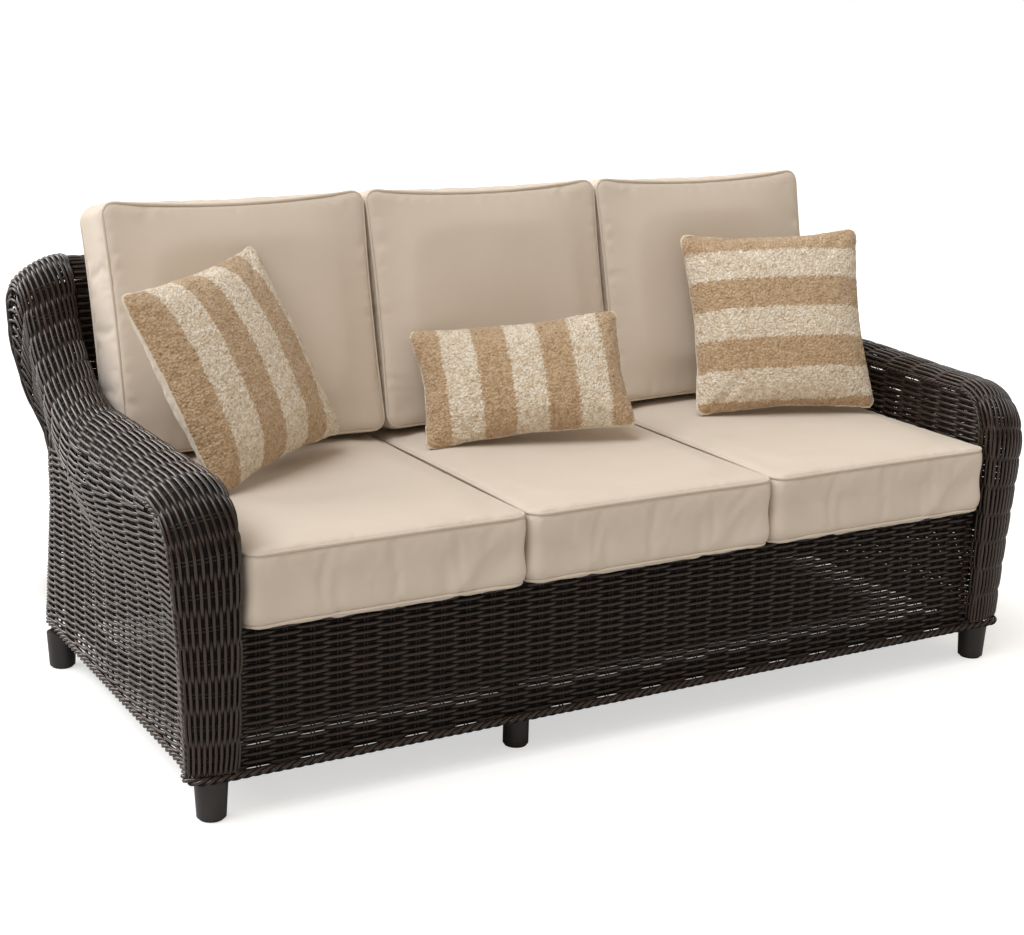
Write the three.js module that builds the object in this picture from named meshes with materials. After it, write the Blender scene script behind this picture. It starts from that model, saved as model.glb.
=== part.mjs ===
// Three-seat woven rattan garden sofa with loose cushions, in millimetres.
// X runs along the sofa, Y from its front to its back, Z up from the floor.
import * as THREE from 'three';

// Seat and cushions
const seatPlaces = 3;
const seatPitch = 560;
const cushionSideGap = 1;
const seatCushionDepth = 695;
const seatCushionThickness = 133;
const seatCushionCrown = 15;
const backCushionHeight = 497;
const backCushionThickness = 145;
const backCushionCrown = 25;
const backLean = THREE.MathUtils.degToRad(13.7);
const backCushionLap = 116;
const cushionCornerRadius = 24;
const cushionDrawIn = 5;
const cushionBoxBulge = 5;
const cushionUnderTuck = 7;

// Frame of aluminium tube
const deckHeight = 348.5;
const tubeSide = 25;
const tubeRadius = 12.5;
const tubeWall = 1.5;
const seatRailHeight = 40;
const rearRailLap = 4.8;
const deckOverhang = 6.25;
const topRailDepth = 40;
const uprightThickness = 12;
const lowerRailDrop = 2.5;
const frontRailGap = 1;
const hoopOut = 53;
const hoopInset = 49;
const hoopBottomRise = 0.3;
const sideRailGap = 3.5;
const rearPostInset = 91.9;
const seamGap = 0.3;

// Elastic webbing of the seat
const strapWidth = 50;
const strapThickness = 1.6;
const strapWaveHeight = 1;
const crossStraps = 6;
const lengthStraps = 3;

// Woven skins
const skin = 9;
const postFlareShare = 1.7;
const armSideGap = 5;
const armBaseZ = 92;
const postFootY = 18;
const postLeanTopZ = 250;
const armTopZ = 597;
const armCurlRadius = 107;
const sweepRadius = 240;
const crestRadius = 60;
const crestCentreZ = 801;
const outerEdgeY = 33;
const outerFootY = 36;
const outerTopZ = 565;
const outerCurlRadius = 95;
const outerSweepRadius = 400;
const outerCrestZ = 745;
const sideBaseFrontY = 115;
const sideWaistZ = 330;
const sideFlareZ = 470;
const postDome = 14;
const curlDome = 20;
const armFrontDome = 31;
const armDome = 42;
const sweepDome = 39;
const postFlange = 34;
const armFlange = 6;
const apronSetBack = 0.5;
const apronDrop = 18.5;
const rearCornerGap = 8;
const borderRadius = 8;
const borderProud = 4;
const borderCornerRadius = 34;

// Outer edges of an arm and places of its feet, outward from the side of the seat
const footOut = 96;
const kneeOut = 120;
const shoulderOut = 128;
const armOut = 121;
const crestOut = 111;
const baseFrontOut = 75;
const baseRearOut = 57;
const waistOut = 40;
const frontFootOut = 44;
const rearFootOut = 43;

// Feet
const rearFootInset = 81.9;
const rearNeckShift = 22;
const footBottomRadius = 26.5;
const footTopRadius = 30.5;
const footNeckRadius = 9;
const middleFootX = -250;
const middleFootSetBack = 36.5;
const middleFootRadius = 25;
const glideThickness = 4;
const glideRadius = 22;
const glideStemRadius = 5;
const glideStemLength = 18;
const glideClearance = 0.3;

// Throw pillows: size, angles and place on the seat
const pillowSide = 412;
const pillowThickness = 120;
const lumbarWidth = 446;
const lumbarHeight = 262;
const lumbarThickness = 105;
const pillowCornerRadius = 16;
const pillowDrawIn = 13;
const restGap = 0.4;
const liftBeforeRest = 100;
const leftPillowShift = -98;
const leftPillowForward = 107;
const lumbarShift = -32;
const lumbarForward = 124;
const rightPillowShift = 60;
const rightPillowForward = 123;
const leftPillowTurn = THREE.MathUtils.degToRad(27);
const leftPillowLean = THREE.MathUtils.degToRad(27);
const leftPillowRoll = THREE.MathUtils.degToRad(7);
const lumbarTurn = THREE.MathUtils.degToRad(-22);
const lumbarLean = THREE.MathUtils.degToRad(31);
const lumbarRoll = THREE.MathUtils.degToRad(6);
const rightPillowTurn = THREE.MathUtils.degToRad(-21);
const rightPillowLean = THREE.MathUtils.degToRad(24);
const rightPillowRoll = THREE.MathUtils.degToRad(2);

// Steps of the curved surfaces
const postSteps = 4;
const curlSteps = 7;
const armSteps = 3;
const sweepSteps = 8;
const crestSteps = 8;
const domeSteps = 6;
const tubeSides = 10;
const borderSides = 8;
const bendSteps = 5;
const footSides = 48;
const cornerSteps = 3;

// Places of the rings on a cushion's or pillow's face, and of the points along its sides
const cushionFaceShares = [0.93, 0.78, 0.52, 0.25];
const pillowFaceShares = [0.93, 0.8, 0.6, 0.35];
const pillowFullnessShare = 0.85;
const outlineSideShares = [0.25, 0.5, 0.75];

// Sizes that follow from the ones above
const wellHalf = seatPlaces * seatPitch / 2 + armSideGap;
const outerFootX = wellHalf + footOut;
const outerKneeX = wellHalf + kneeOut;
const outerShoulderX = wellHalf + shoulderOut;
const outerArmX = wellHalf + armOut;
const outerCrestX = wellHalf + crestOut;
const sideBaseFrontX = wellHalf + baseFrontOut;
const sideBaseRearX = wellHalf + baseRearOut;
const sideWaistX = wellHalf + waistOut;
const hoopX = wellHalf + hoopOut;
const backCushionFrontY = seatCushionDepth - backCushionLap;
const apronY = postFootY + borderRadius + apronSetBack;
const apronTopZ = deckHeight - apronDrop;
const frontPostY = apronY + skin + frontRailGap + tubeSide / 2;
const lowerRailBottom = armBaseZ - lowerRailDrop;
const strapStack = strapThickness + 2 * strapWaveHeight;
const seatBottomZ = deckHeight + strapStack + seamGap;
const seatTopZ = seatBottomZ + seatCushionThickness;
const leanSlope = Math.tan(backLean);
const backCushionReach = backCushionThickness + backCushionCrown;
const backPanelAtSeatY = backCushionFrontY + (backCushionReach + restGap) / Math.cos(backLean);
const backPanelY = (z) => backPanelAtSeatY + (z - seatTopZ) * leanSlope;
const backPanelRearY = (z) => backPanelY(z) + skin / Math.cos(backLean);
const crestCentreY = backPanelY(crestCentreZ) + (crestRadius + 2 * restGap) / Math.cos(backLean);
const rearY = crestCentreY + crestRadius;
const rearPostY = rearY - rearPostInset;
const lowerRailZ = lowerRailBottom + tubeSide / 2;
const seatRailZ = deckHeight - seatRailHeight / 2;
const borderZ = armBaseZ - seamGap - borderRadius;
const footTopZ = borderZ - borderRadius - seamGap;
const topRailZ = crestCentreZ - tubeSide / 2 - seamGap;
const backPanelBottomZ = deckHeight + strapStack + seamGap;
const rearSeatRailY = backPanelY(backPanelBottomZ) + rearRailLap + tubeSide / 2;

const sofa = new THREE.Group();
sofa.name = 'woven_garden_sofa';
const model = new THREE.Group();
sofa.add(model);

const finish = (color, roughness, metalness) => () =>
  new THREE.MeshStandardMaterial({ color, roughness, metalness });
const wicker = finish('#3b322d', 0.6, 0);
const tubeMetal = finish('#5a534e', 0.45, 0.7);
const footPaint = finish('#1f1b1a', 0.45, 0.1);
const glidePlastic = finish('#16161a', 0.6, 0);
const webbing = finish('#2b2927', 0.9, 0);
const canvas = finish('#c9b79f', 0.9, 0);
const boucle = finish('#d8c6a8', 0.95, 0);

function piece(name, geometry, material, parent = model) {
  const mesh = new THREE.Mesh(geometry, material());
  mesh.name = name;
  parent.add(mesh);
  return mesh;
}

// A closed solid between two grids of points that share their rows and columns
function solidBetween(outer, inner, mirrored = false) {
  const rows = outer.length;
  const columns = outer[0].length;
  const positions = [...outer.flat(), ...inner.flat()].flatMap((p) => [p.x, p.y, p.z]);
  const top = (i, j) => i * columns + j;
  const under = (i, j) => rows * columns + i * columns + j;
  const index = [];
  const quad = (a, b, c, d) => {
    if (mirrored) index.push(a, c, b, a, d, c);
    else index.push(a, b, c, a, c, d);
  };
  for (let i = 0; i < rows - 1; i += 1) {
    for (let j = 0; j < columns - 1; j += 1) {
      quad(top(i, j), top(i, j + 1), top(i + 1, j + 1), top(i + 1, j));
      quad(under(i, j), under(i + 1, j), under(i + 1, j + 1), under(i, j + 1));
    }
    const last = columns - 1;
    quad(top(i, 0), top(i + 1, 0), under(i + 1, 0), under(i, 0));
    quad(top(i, last), under(i, last), under(i + 1, last), top(i + 1, last));
  }
  for (let j = 0; j < columns - 1; j += 1) {
    const last = rows - 1;
    quad(top(0, j), under(0, j), under(0, j + 1), top(0, j + 1));
    quad(top(last, j), top(last, j + 1), under(last, j + 1), under(last, j));
  }
  const geometry = new THREE.BufferGeometry();
  geometry.setAttribute('position', new THREE.Float32BufferAttribute(positions, 3));
  geometry.setIndex(index);
  geometry.computeVertexNormals();
  return geometry;
}

// The wall of a box tube
function boxSection(width, height) {
  const rectangle = (halfWidth, halfHeight) => [
    new THREE.Vector2(-halfWidth, -halfHeight),
    new THREE.Vector2(halfWidth, -halfHeight),
    new THREE.Vector2(halfWidth, halfHeight),
    new THREE.Vector2(-halfWidth, halfHeight),
  ];
  const section = new THREE.Shape(rectangle(width / 2, height / 2));
  section.holes.push(new THREE.Path(rectangle(width / 2 - tubeWall, height / 2 - tubeWall)));
  return section;
}

// A flat outline in one plane, given a thickness square to it
function plate(outline, thickness, toWorld) {
  const geometry = new THREE.ExtrudeGeometry(new THREE.Shape(outline), {
    depth: thickness,
    bevelEnabled: false,
  });
  return geometry.applyMatrix4(toWorld);
}

const axes = (x, y, z, origin) => new THREE.Matrix4().makeBasis(x, y, z).setPosition(origin);
const alongX = new THREE.Vector3(1, 0, 0);
const alongY = new THREE.Vector3(0, 1, 0);
const alongZ = new THREE.Vector3(0, 0, 1);

// Straight box tubes: along X they are turned so that the section's width lies in Y
function railAlongX(name, halfLength, y, z, depth, height) {
  const geometry = new THREE.ExtrudeGeometry(boxSection(depth, height), {
    depth: 2 * halfLength,
    bevelEnabled: false,
  });
  geometry.applyMatrix4(axes(alongY, alongZ, alongX, new THREE.Vector3(-halfLength, y, z)));
  return piece(name, geometry, tubeMetal);
}

function railAlongY(name, x, startY, endY, z, height) {
  const geometry = new THREE.ExtrudeGeometry(boxSection(height, tubeSide), {
    depth: endY - startY,
    bevelEnabled: false,
  });
  geometry.applyMatrix4(axes(alongZ, alongX, alongY, new THREE.Vector3(x, startY, z)));
  return piece(name, geometry, tubeMetal);
}

function postAlongZ(name, x, y, bottom, top) {
  const geometry = new THREE.ExtrudeGeometry(boxSection(tubeSide, tubeSide), {
    depth: top - bottom,
    bevelEnabled: false,
  });
  geometry.translate(x, y, bottom);
  return piece(name, geometry, tubeMetal);
}

// The edge of the arm in the Y-Z plane: up the post, over the front curl, back along the
// arm, up the sweep and over the crest. The sweep touches the crest's circle.
function armEdge(edge) {
  const rise = edge.topZ + edge.sweepRadius;
  const reach = edge.sweepRadius + edge.crestRadius;
  const sweepY = edge.crestY - Math.sqrt(reach ** 2 - (rise - edge.crestZ) ** 2);
  const touch = Math.atan2(edge.crestZ - rise, edge.crestY - sweepY);
  const curlEndY = edge.frontY + edge.curlRadius;
  const curlZ = edge.topZ - edge.curlRadius;
  const v = (y, z) => new THREE.Vector2(y, z);
  return [
    new THREE.QuadraticBezierCurve(
      v(edge.footY, edge.baseZ), v(edge.frontY, edge.leanZ), v(edge.frontY, curlZ),
    ),
    new THREE.EllipseCurve(curlEndY, curlZ, edge.curlRadius, edge.curlRadius, Math.PI, Math.PI / 2, true),
    new THREE.LineCurve(v(curlEndY, edge.topZ), v(sweepY, edge.topZ)),
    new THREE.EllipseCurve(sweepY, rise, edge.sweepRadius, edge.sweepRadius, -Math.PI / 2, touch, false),
    new THREE.EllipseCurve(
      edge.crestY, edge.crestZ, edge.crestRadius, edge.crestRadius, touch + Math.PI, edge.endAngle, true,
    ),
  ];
}

const innerEdge = armEdge({
  footY: postFootY,
  frontY: 0,
  baseZ: armBaseZ,
  leanZ: postLeanTopZ,
  topZ: armTopZ,
  curlRadius: armCurlRadius,
  sweepRadius,
  crestY: crestCentreY,
  crestZ: crestCentreZ,
  crestRadius,
  endAngle: 0,
});
const outerEdge = armEdge({
  footY: outerFootY,
  frontY: outerEdgeY,
  baseZ: armBaseZ,
  leanZ: postLeanTopZ,
  topZ: outerTopZ,
  curlRadius: outerCurlRadius,
  sweepRadius: outerSweepRadius,
  crestY: crestCentreY,
  crestZ: outerCrestZ,
  crestRadius,
  endAngle: 0,
});
const stretchSteps = [postSteps, curlSteps, armSteps, sweepSteps, crestSteps];

// What changes along each stretch of the arm, from its start to its end
const stretchOuterX = [
  [outerFootX, outerKneeX],
  [outerKneeX, outerShoulderX],
  [outerShoulderX, outerArmX],
  [outerArmX, outerCrestX],
  [outerCrestX, outerCrestX],
];
const stretchDome = [
  [postDome, curlDome],
  [curlDome, armFrontDome],
  [armFrontDome, armDome],
  [armDome, sweepDome],
  [sweepDome, 0],
];
const stretchFlange = [
  [postFlange, postFlange],
  [postFlange, armFlange],
  [armFlange, armFlange],
  [armFlange, armFlange],
  [armFlange, armFlange],
];
const blend = ([from, to], share) => THREE.MathUtils.lerp(from, to, share * share * (3 - 2 * share));
const straight = ([from, to], share) => THREE.MathUtils.lerp(from, to, share);

function armStations() {
  const stations = [];
  stretchSteps.forEach((steps, stretch) => {
    for (let i = stretch === 0 ? 0 : 1; i <= steps; i += 1) {
      stations.push(armStation(stretch, i / steps));
    }
  });
  return stations;
}

function armStation(stretch, share) {
  const inside = innerEdge[stretch].getPoint(share);
  const outside = outerEdge[stretch].getPoint(share);
  const heading = innerEdge[stretch].getTangent(share).add(outerEdge[stretch].getTangent(share));
  if (stretch === 0 && share === 0) heading.set(0, 1);
  const inner = new THREE.Vector3(wellHalf, inside.x, inside.y);
  const spread = stretch === 0 ? share ** postFlareShare : share;
  const outer = new THREE.Vector3(straight(stretchOuterX[stretch], spread), outside.x, outside.y);
  const across = outer.clone().sub(inner);
  const forward = new THREE.Vector3(0, heading.x, heading.y).normalize();
  const out = across.clone().cross(forward).normalize();
  return {
    inner,
    outer,
    across,
    out,
    dome: blend(stretchDome[stretch], share),
    flange: blend(stretchFlange[stretch], share) - (stretch === 0 ? inside.x : 0),
    edgeOut: new THREE.Vector3(0, forward.z, -forward.y).negate(),
  };
}

const stations = armStations();
const towardSeat = new THREE.Vector3(-1, 0, 0);
const towardSide = new THREE.Vector3(1, 0, 0);

// One row of points across the roll, with the direction in which its skin faces
function rollRow(station) {
  const { inner, across, out, dome, flange, edgeOut } = station;
  const halfWidth = across.length() / 2;
  const sideways = across.clone().normalize();
  const row = [{ point: inner.clone().addScaledVector(edgeOut, -flange), facing: towardSeat }];
  for (let j = 0; j <= domeSteps; j += 1) {
    const angle = (j / domeSteps) * Math.PI;
    const point = inner.clone()
      .addScaledVector(across, (1 - Math.cos(angle)) / 2)
      .addScaledVector(out, dome * Math.sin(angle));
    const facing = out.clone().multiplyScalar(halfWidth * Math.sin(angle))
      .addScaledVector(sideways, -Math.max(dome, skin) * Math.cos(angle))
      .normalize();
    row.push({ point, facing });
  }
  row[1].facing = towardSeat;
  row[row.length - 1].facing = towardSide;
  return row;
}

const mirrorX = (point, side) => new THREE.Vector3(side * point.x, point.y, point.z);

function armRoll(side) {
  const rows = stations.map(rollRow);
  const outer = rows.map((row) => row.map(({ point }) => mirrorX(point, side)));
  const inner = rows.map((row) =>
    row.map(({ point, facing }) => mirrorX(point.clone().addScaledVector(facing, -skin), side)));
  return solidBetween(outer, inner, side < 0);
}

// The outer side of the arm fills the space between the roll's outer edge and the base
const dropped = ({ outer, edgeOut }) => outer.clone().addScaledVector(edgeOut, -seamGap);
const curlEnd = postSteps + curlSteps;
const sideFront = stations.slice(0, curlEnd + 1).map(dropped);
const sideTop = stations.slice(curlEnd).map(dropped);
const sideFrontFoot = sideFront[0];
const sideFrontTop = sideTop[0];
const sideRearTop = sideTop[sideTop.length - 1];
const sideRearFoot = new THREE.Vector3(sideBaseRearX, sideRearTop.y, armBaseZ);

// The bottom edge, by its depth: it draws in behind the post and then runs straight back
function sideBottomX(y) {
  const share = THREE.MathUtils.clamp((y - sideFrontFoot.y) / (sideBaseFrontY - sideFrontFoot.y), 0, 1);
  const back = THREE.MathUtils.clamp((y - sideBaseFrontY) / (sideRearFoot.y - sideBaseFrontY), 0, 1);
  return blend([sideFrontFoot.x, sideBaseFrontX], share) + back * (sideBaseRearX - sideBaseFrontX);
}

// The rear edge, by its height: drawn in to the waist, then flaring out to the crest
function sideRearX(z) {
  const drawn = THREE.MathUtils.clamp((z - armBaseZ) / (sideWaistZ - armBaseZ), 0, 1);
  const waist = straight([sideBaseRearX, sideWaistX], drawn);
  const flared = THREE.MathUtils.clamp((z - sideFlareZ) / (sideRearTop.z - sideFlareZ), 0, 1);
  return THREE.MathUtils.lerp(waist, sideRearTop.x, flared * (2 - flared));
}

function sidePoint(top, front) {
  const u = (top.y - sideFrontTop.y) / (sideRearTop.y - sideFrontTop.y);
  const v = (front.z - sideFrontFoot.z) / (sideFrontTop.z - sideFrontFoot.z);
  const bottomY = THREE.MathUtils.lerp(sideFrontFoot.y, sideRearFoot.y, u);
  const rearZ = THREE.MathUtils.lerp(sideRearFoot.z, sideRearTop.z, v);
  const bottom = new THREE.Vector3(sideBottomX(bottomY), bottomY, armBaseZ);
  const rear = new THREE.Vector3(sideRearX(rearZ), sideRearTop.y, rearZ);
  const point = new THREE.Vector3();
  point.addScaledVector(bottom, 1 - v).addScaledVector(top, v);
  point.addScaledVector(front, 1 - u).addScaledVector(rear, u);
  point.addScaledVector(sideFrontFoot, -(1 - u) * (1 - v));
  point.addScaledVector(sideRearFoot, -u * (1 - v));
  point.addScaledVector(sideFrontTop, -(1 - u) * v);
  point.addScaledVector(sideRearTop, -u * v);
  return point;
}

const sideGrid = sideTop.map((top) => sideFront.map((front) => sidePoint(top, front)));
const sideNarrowestX = Math.min(...sideGrid.flat().map((point) => point.x));
const sideRailX = sideNarrowestX - skin - sideRailGap - tubeSide / 2;

function outerSide(side) {
  const place = (inset) => sideGrid.map((column) =>
    column.map((point) => mirrorX(point.clone().addScaledVector(towardSide, -inset), side)));
  return solidBetween(place(0), place(skin), side > 0);
}

// The inner side of the arm is flat and stops just under the roll's inner edge
function innerSide(side) {
  const under = ({ inner, edgeOut, flange }) => inner.clone().addScaledVector(edgeOut, -flange - seamGap);
  const edge = stations.map(under);
  const first = edge.findIndex((point) => point.z > backPanelBottomZ);
  const outline = edge.slice(first)
    .filter((point) => point.y < backPanelRearY(point.z))
    .map((point) => new THREE.Vector2(point.y, point.z));
  outline.push(new THREE.Vector2(backPanelRearY(backPanelBottomZ), backPanelBottomZ));
  outline.push(new THREE.Vector2(edge[first - 1].y, backPanelBottomZ));
  const start = side > 0 ? wellHalf : -wellHalf - skin;
  return plate(outline, skin, axes(alongY, alongZ, alongX, new THREE.Vector3(start, 0, 0)));
}

for (const [name, side] of [['left', -1], ['right', 1]]) {
  piece(`${name}_arm_roll`, armRoll(side), wicker);
  piece(`${name}_arm_outer_side`, outerSide(side), wicker);
  piece(`${name}_arm_inner_side`, innerSide(side), wicker);
}

// Front apron, back panels and the roll along the top of the back
const apronHalf = wellHalf - seamGap;
const apron = new THREE.BoxGeometry(2 * apronHalf, skin, apronTopZ - borderZ);
apron.translate(0, apronY + skin / 2, (apronTopZ + borderZ) / 2);
piece('front_apron', apron, wicker);

function leaningPlate(bottomZ, topZ, thickness, setBack, halfWidth) {
  const front = (z) => backPanelY(z) + setBack / Math.cos(backLean);
  const through = thickness / Math.cos(backLean);
  const outline = [
    new THREE.Vector2(front(bottomZ), bottomZ),
    new THREE.Vector2(front(bottomZ) + through, bottomZ),
    new THREE.Vector2(front(topZ) + through, topZ),
    new THREE.Vector2(front(topZ), topZ),
  ];
  return plate(outline, 2 * halfWidth, axes(alongY, alongZ, alongX, new THREE.Vector3(-halfWidth, 0, 0)));
}

piece(
  'back_panel',
  leaningPlate(backPanelBottomZ, crestCentreZ - seamGap, skin, 0, apronHalf),
  wicker,
);

function backRoll() {
  const arc = (radius) => {
    const points = [];
    for (let i = 0; i <= crestSteps; i += 1) {
      const angle = Math.PI * (1 - i / crestSteps);
      points.push(new THREE.Vector2(
        crestCentreY + radius * Math.cos(angle),
        crestCentreZ + radius * Math.sin(angle),
      ));
    }
    return points;
  };
  const outline = [...arc(crestRadius), ...arc(crestRadius - skin).reverse()];
  return plate(outline, 2 * apronHalf, axes(alongY, alongZ, alongX, new THREE.Vector3(-apronHalf, 0, 0)));
}
piece('back_top_roll', backRoll(), wicker);

function rearPanel() {
  const rightEdge = [];
  sideFront.forEach((front) => {
    const { x, z } = sidePoint(sideRearTop, front);
    rightEdge.push(new THREE.Vector2(x - skin - rearCornerGap, z));
  });
  const leftEdge = rightEdge.map(({ x, y }) => new THREE.Vector2(-x, y)).reverse();
  const top = [
    new THREE.Vector2(wellHalf, crestCentreZ - seamGap),
    new THREE.Vector2(-wellHalf, crestCentreZ - seamGap),
  ];
  const outline = [...rightEdge, ...top, ...leftEdge];
  return plate(outline, skin, axes(alongX, alongZ, alongY.clone().negate(), new THREE.Vector3(0, rearY, 0)));
}
piece('rear_panel', rearPanel(), wicker);

// The twisted border round the base, drawn as its outer tube
function borderLoop() {
  const frontY = postFootY;
  const backY = rearY - borderRadius + borderProud;
  const frontX = outerFootX - borderRadius + borderProud;
  const sideX = sideBaseFrontX - borderRadius + borderProud;
  const backX = sideBaseRearX - borderRadius + borderProud;
  const v = (x, y) => new THREE.Vector3(x, y, borderZ);
  const bend = borderCornerRadius;
  const curve = (...stops) => new THREE.QuadraticBezierCurve3(...stops).getPoints(bendSteps);
  const half = [
    v(0, frontY),
    ...curve(v(frontX - bend, frontY), v(frontX, frontY), v(frontX, frontY + bend)),
    ...curve(
      v(frontX, frontY + bend), v(sideX, sideBaseFrontY - bend), v(sideX, sideBaseFrontY + bend),
    ).slice(1),
    ...curve(v(backX, backY - bend), v(backX, backY), v(backX - bend, backY)),
    v(0, backY),
  ];
  const otherHalf = half.slice(1, -1).map((p) => v(-p.x, p.y)).reverse();
  return [...half, ...otherHalf];
}

// A round ring along a closed loop of points that lies flat
function flatRing(loop, radius, sides) {
  const positions = [];
  const index = [];
  loop.forEach((point, i) => {
    const before = loop[(i + loop.length - 1) % loop.length];
    const after = loop[(i + 1) % loop.length];
    const forward = after.clone().sub(before).normalize();
    const outward = forward.clone().cross(alongZ);
    for (let j = 0; j < sides; j += 1) {
      const angle = (j / sides) * 2 * Math.PI;
      const rim = point.clone()
        .addScaledVector(outward, radius * Math.cos(angle))
        .addScaledVector(alongZ, radius * Math.sin(angle));
      positions.push(rim.x, rim.y, rim.z);
      const nextRow = ((i + 1) % loop.length) * sides;
      const nextSide = (j + 1) % sides;
      const row = i * sides;
      index.push(row + j, nextRow + j, nextRow + nextSide, row + j, nextRow + nextSide, row + nextSide);
    }
  });
  const geometry = new THREE.BufferGeometry();
  geometry.setAttribute('position', new THREE.Float32BufferAttribute(positions, 3));
  geometry.setIndex(index);
  geometry.computeVertexNormals();
  return geometry;
}
piece('base_border', flatRing(borderLoop(), borderRadius, borderSides), wicker);

// Frame: two bent arm hoops, rear posts, rails, uprights and braces
function hoopPoints(side) {
  const hoop = armEdge({
    footY: frontPostY,
    frontY: frontPostY,
    baseZ: lowerRailBottom + hoopBottomRise,
    leanZ: postLeanTopZ,
    topZ: armTopZ - hoopInset,
    curlRadius: armCurlRadius - hoopInset + tubeRadius,
    sweepRadius: sweepRadius + hoopInset,
    crestY: crestCentreY,
    crestZ: crestCentreZ,
    crestRadius: crestRadius - hoopInset,
    endAngle: 0,
  });
  const steps = [1, curlSteps, 1, sweepSteps];
  const points = [];
  steps.forEach((count, stretch) => {
    for (let i = stretch === 0 ? 0 : 1; i <= count; i += 1) {
      const { x, y } = hoop[stretch].getPoint(i / count);
      points.push(new THREE.Vector3(side * hoopX, x, y));
    }
  });
  return points;
}

// A bent tube whose rings stand at the given points, so that the bends keep their shape
function bentTube(points, radius) {
  const ring = (i, ringRadius) => {
    const before = points[Math.max(i - 1, 0)];
    const after = points[Math.min(i + 1, points.length - 1)];
    const forward = after.clone().sub(before).normalize();
    const up = alongX.clone().cross(forward);
    const rim = [];
    for (let j = 0; j <= tubeSides; j += 1) {
      const angle = ((j % tubeSides) / tubeSides) * 2 * Math.PI;
      rim.push(points[i].clone()
        .addScaledVector(alongX, ringRadius * Math.cos(angle))
        .addScaledVector(up, ringRadius * Math.sin(angle)));
    }
    return rim;
  };
  const outer = points.map((_, i) => ring(i, radius));
  const inner = points.map((_, i) => ring(i, radius - tubeWall));
  return hollowFromRings(outer, inner);
}

function hollowFromRings(outer, inner) {
  const sides = tubeSides;
  const rows = outer.length;
  const positions = [...outer, ...inner]
    .flatMap((rim) => rim.slice(0, sides)).flatMap((p) => [p.x, p.y, p.z]);
  const index = [];
  const at = (layer, i, j) => (layer * rows + i) * sides + (j % sides);
  const quad = (a, b, c, d) => index.push(a, c, b, a, d, c);
  for (let i = 0; i < rows - 1; i += 1) {
    for (let j = 0; j < sides; j += 1) {
      quad(at(0, i, j), at(0, i, j + 1), at(0, i + 1, j + 1), at(0, i + 1, j));
      quad(at(1, i, j), at(1, i + 1, j), at(1, i + 1, j + 1), at(1, i, j + 1));
    }
  }
  for (let j = 0; j < sides; j += 1) {
    quad(at(0, 0, j), at(1, 0, j), at(1, 0, j + 1), at(0, 0, j + 1));
    quad(at(0, rows - 1, j), at(0, rows - 1, j + 1), at(1, rows - 1, j + 1), at(1, rows - 1, j));
  }
  const geometry = new THREE.BufferGeometry();
  geometry.setAttribute('position', new THREE.Float32BufferAttribute(positions, 3));
  geometry.setIndex(index);
  geometry.computeVertexNormals();
  return geometry;
}

for (const [name, side] of [['left', -1], ['right', 1]]) {
  piece(`${name}_arm_hoop`, bentTube(hoopPoints(side), tubeRadius), tubeMetal);
  const postTop = topRailZ - tubeSide / 2 - seamGap;
  postAlongZ(`${name}_rear_post`, side * sideRailX, rearPostY, lowerRailBottom, postTop);
  const sideStart = frontPostY + tubeRadius + seamGap;
  const sideEnd = rearPostY - tubeSide / 2 - seamGap;
  railAlongY(`${name}_lower_side_rail`, side * sideRailX, sideStart, sideEnd, lowerRailZ, tubeSide);
  railAlongY(`${name}_seat_side_rail`, side * sideRailX, sideStart, sideEnd, seatRailZ, seatRailHeight);
}

const betweenHoops = hoopX - tubeRadius - seamGap;
const betweenPosts = sideRailX - tubeSide / 2 - seamGap;
const betweenSideRails = sideRailX - tubeSide / 2 - seamGap;
railAlongX('front_lower_rail', betweenHoops, frontPostY, lowerRailZ, tubeSide, tubeSide);
railAlongX('front_seat_rail', betweenHoops, frontPostY, seatRailZ, tubeSide, seatRailHeight);
railAlongX('rear_lower_rail', betweenPosts, rearPostY, lowerRailZ, tubeSide, tubeSide);
railAlongX('rear_seat_rail', betweenSideRails, rearSeatRailY, seatRailZ, tubeSide, seatRailHeight);
const topRailY = backPanelRearY(topRailZ + tubeSide / 2) + seamGap + topRailDepth / 2;
railAlongX('back_top_rail', betweenHoops, topRailY, topRailZ, topRailDepth, tubeSide);
const crossStart = frontPostY + tubeSide / 2 + seamGap;
railAlongY(
  'lower_cross_rail', middleFootX, crossStart, rearPostY - tubeSide / 2 - seamGap, lowerRailZ, tubeSide,
);

const seamX = (place) => (place - seatPlaces / 2) * seatPitch;
for (let place = 1; place < seatPlaces; place += 1) {
  railAlongY(
    `seat_brace_${place}`, seamX(place), crossStart, rearSeatRailY - tubeSide / 2 - seamGap,
    seatRailZ - strapStack, seatRailHeight - 2 * strapStack,
  );
}

for (let place = 0; place < seatPlaces; place += 1) {
  const upright = leaningPlate(
    deckHeight + seamGap, topRailZ - tubeSide / 2 - seamGap, uprightThickness, skin + seamGap, tubeSide / 2,
  );
  upright.translate(seamX(place + 0.5), 0, 0);
  piece(`back_upright_${place + 1}`, upright, tubeMetal);
}

// Interlaced webbing: each strap rises over one strap and dips under the next
function wavyStrap(crossings, startS, endS, phase, toWorld) {
  const middle = strapThickness / 2 + strapWaveHeight;
  const stops = [{ s: startS, lift: 0 }];
  crossings.forEach((s, i) => {
    const lift = (i + phase) % 2 === 0 ? strapWaveHeight : -strapWaveHeight;
    stops.push({ s: s - strapWidth / 2, lift }, { s: s + strapWidth / 2, lift });
  });
  stops.push({ s: endS, lift: 0 });
  const layer = (side, raise) => stops.map(({ s, lift }) =>
    toWorld(s, side * strapWidth / 2, deckHeight + middle + lift + raise));
  const rows = (raise) => [layer(-1, raise), layer(1, raise)];
  return [rows(strapThickness / 2 - seamGap / 2), rows(-strapThickness / 2 + seamGap / 2)];
}

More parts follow.
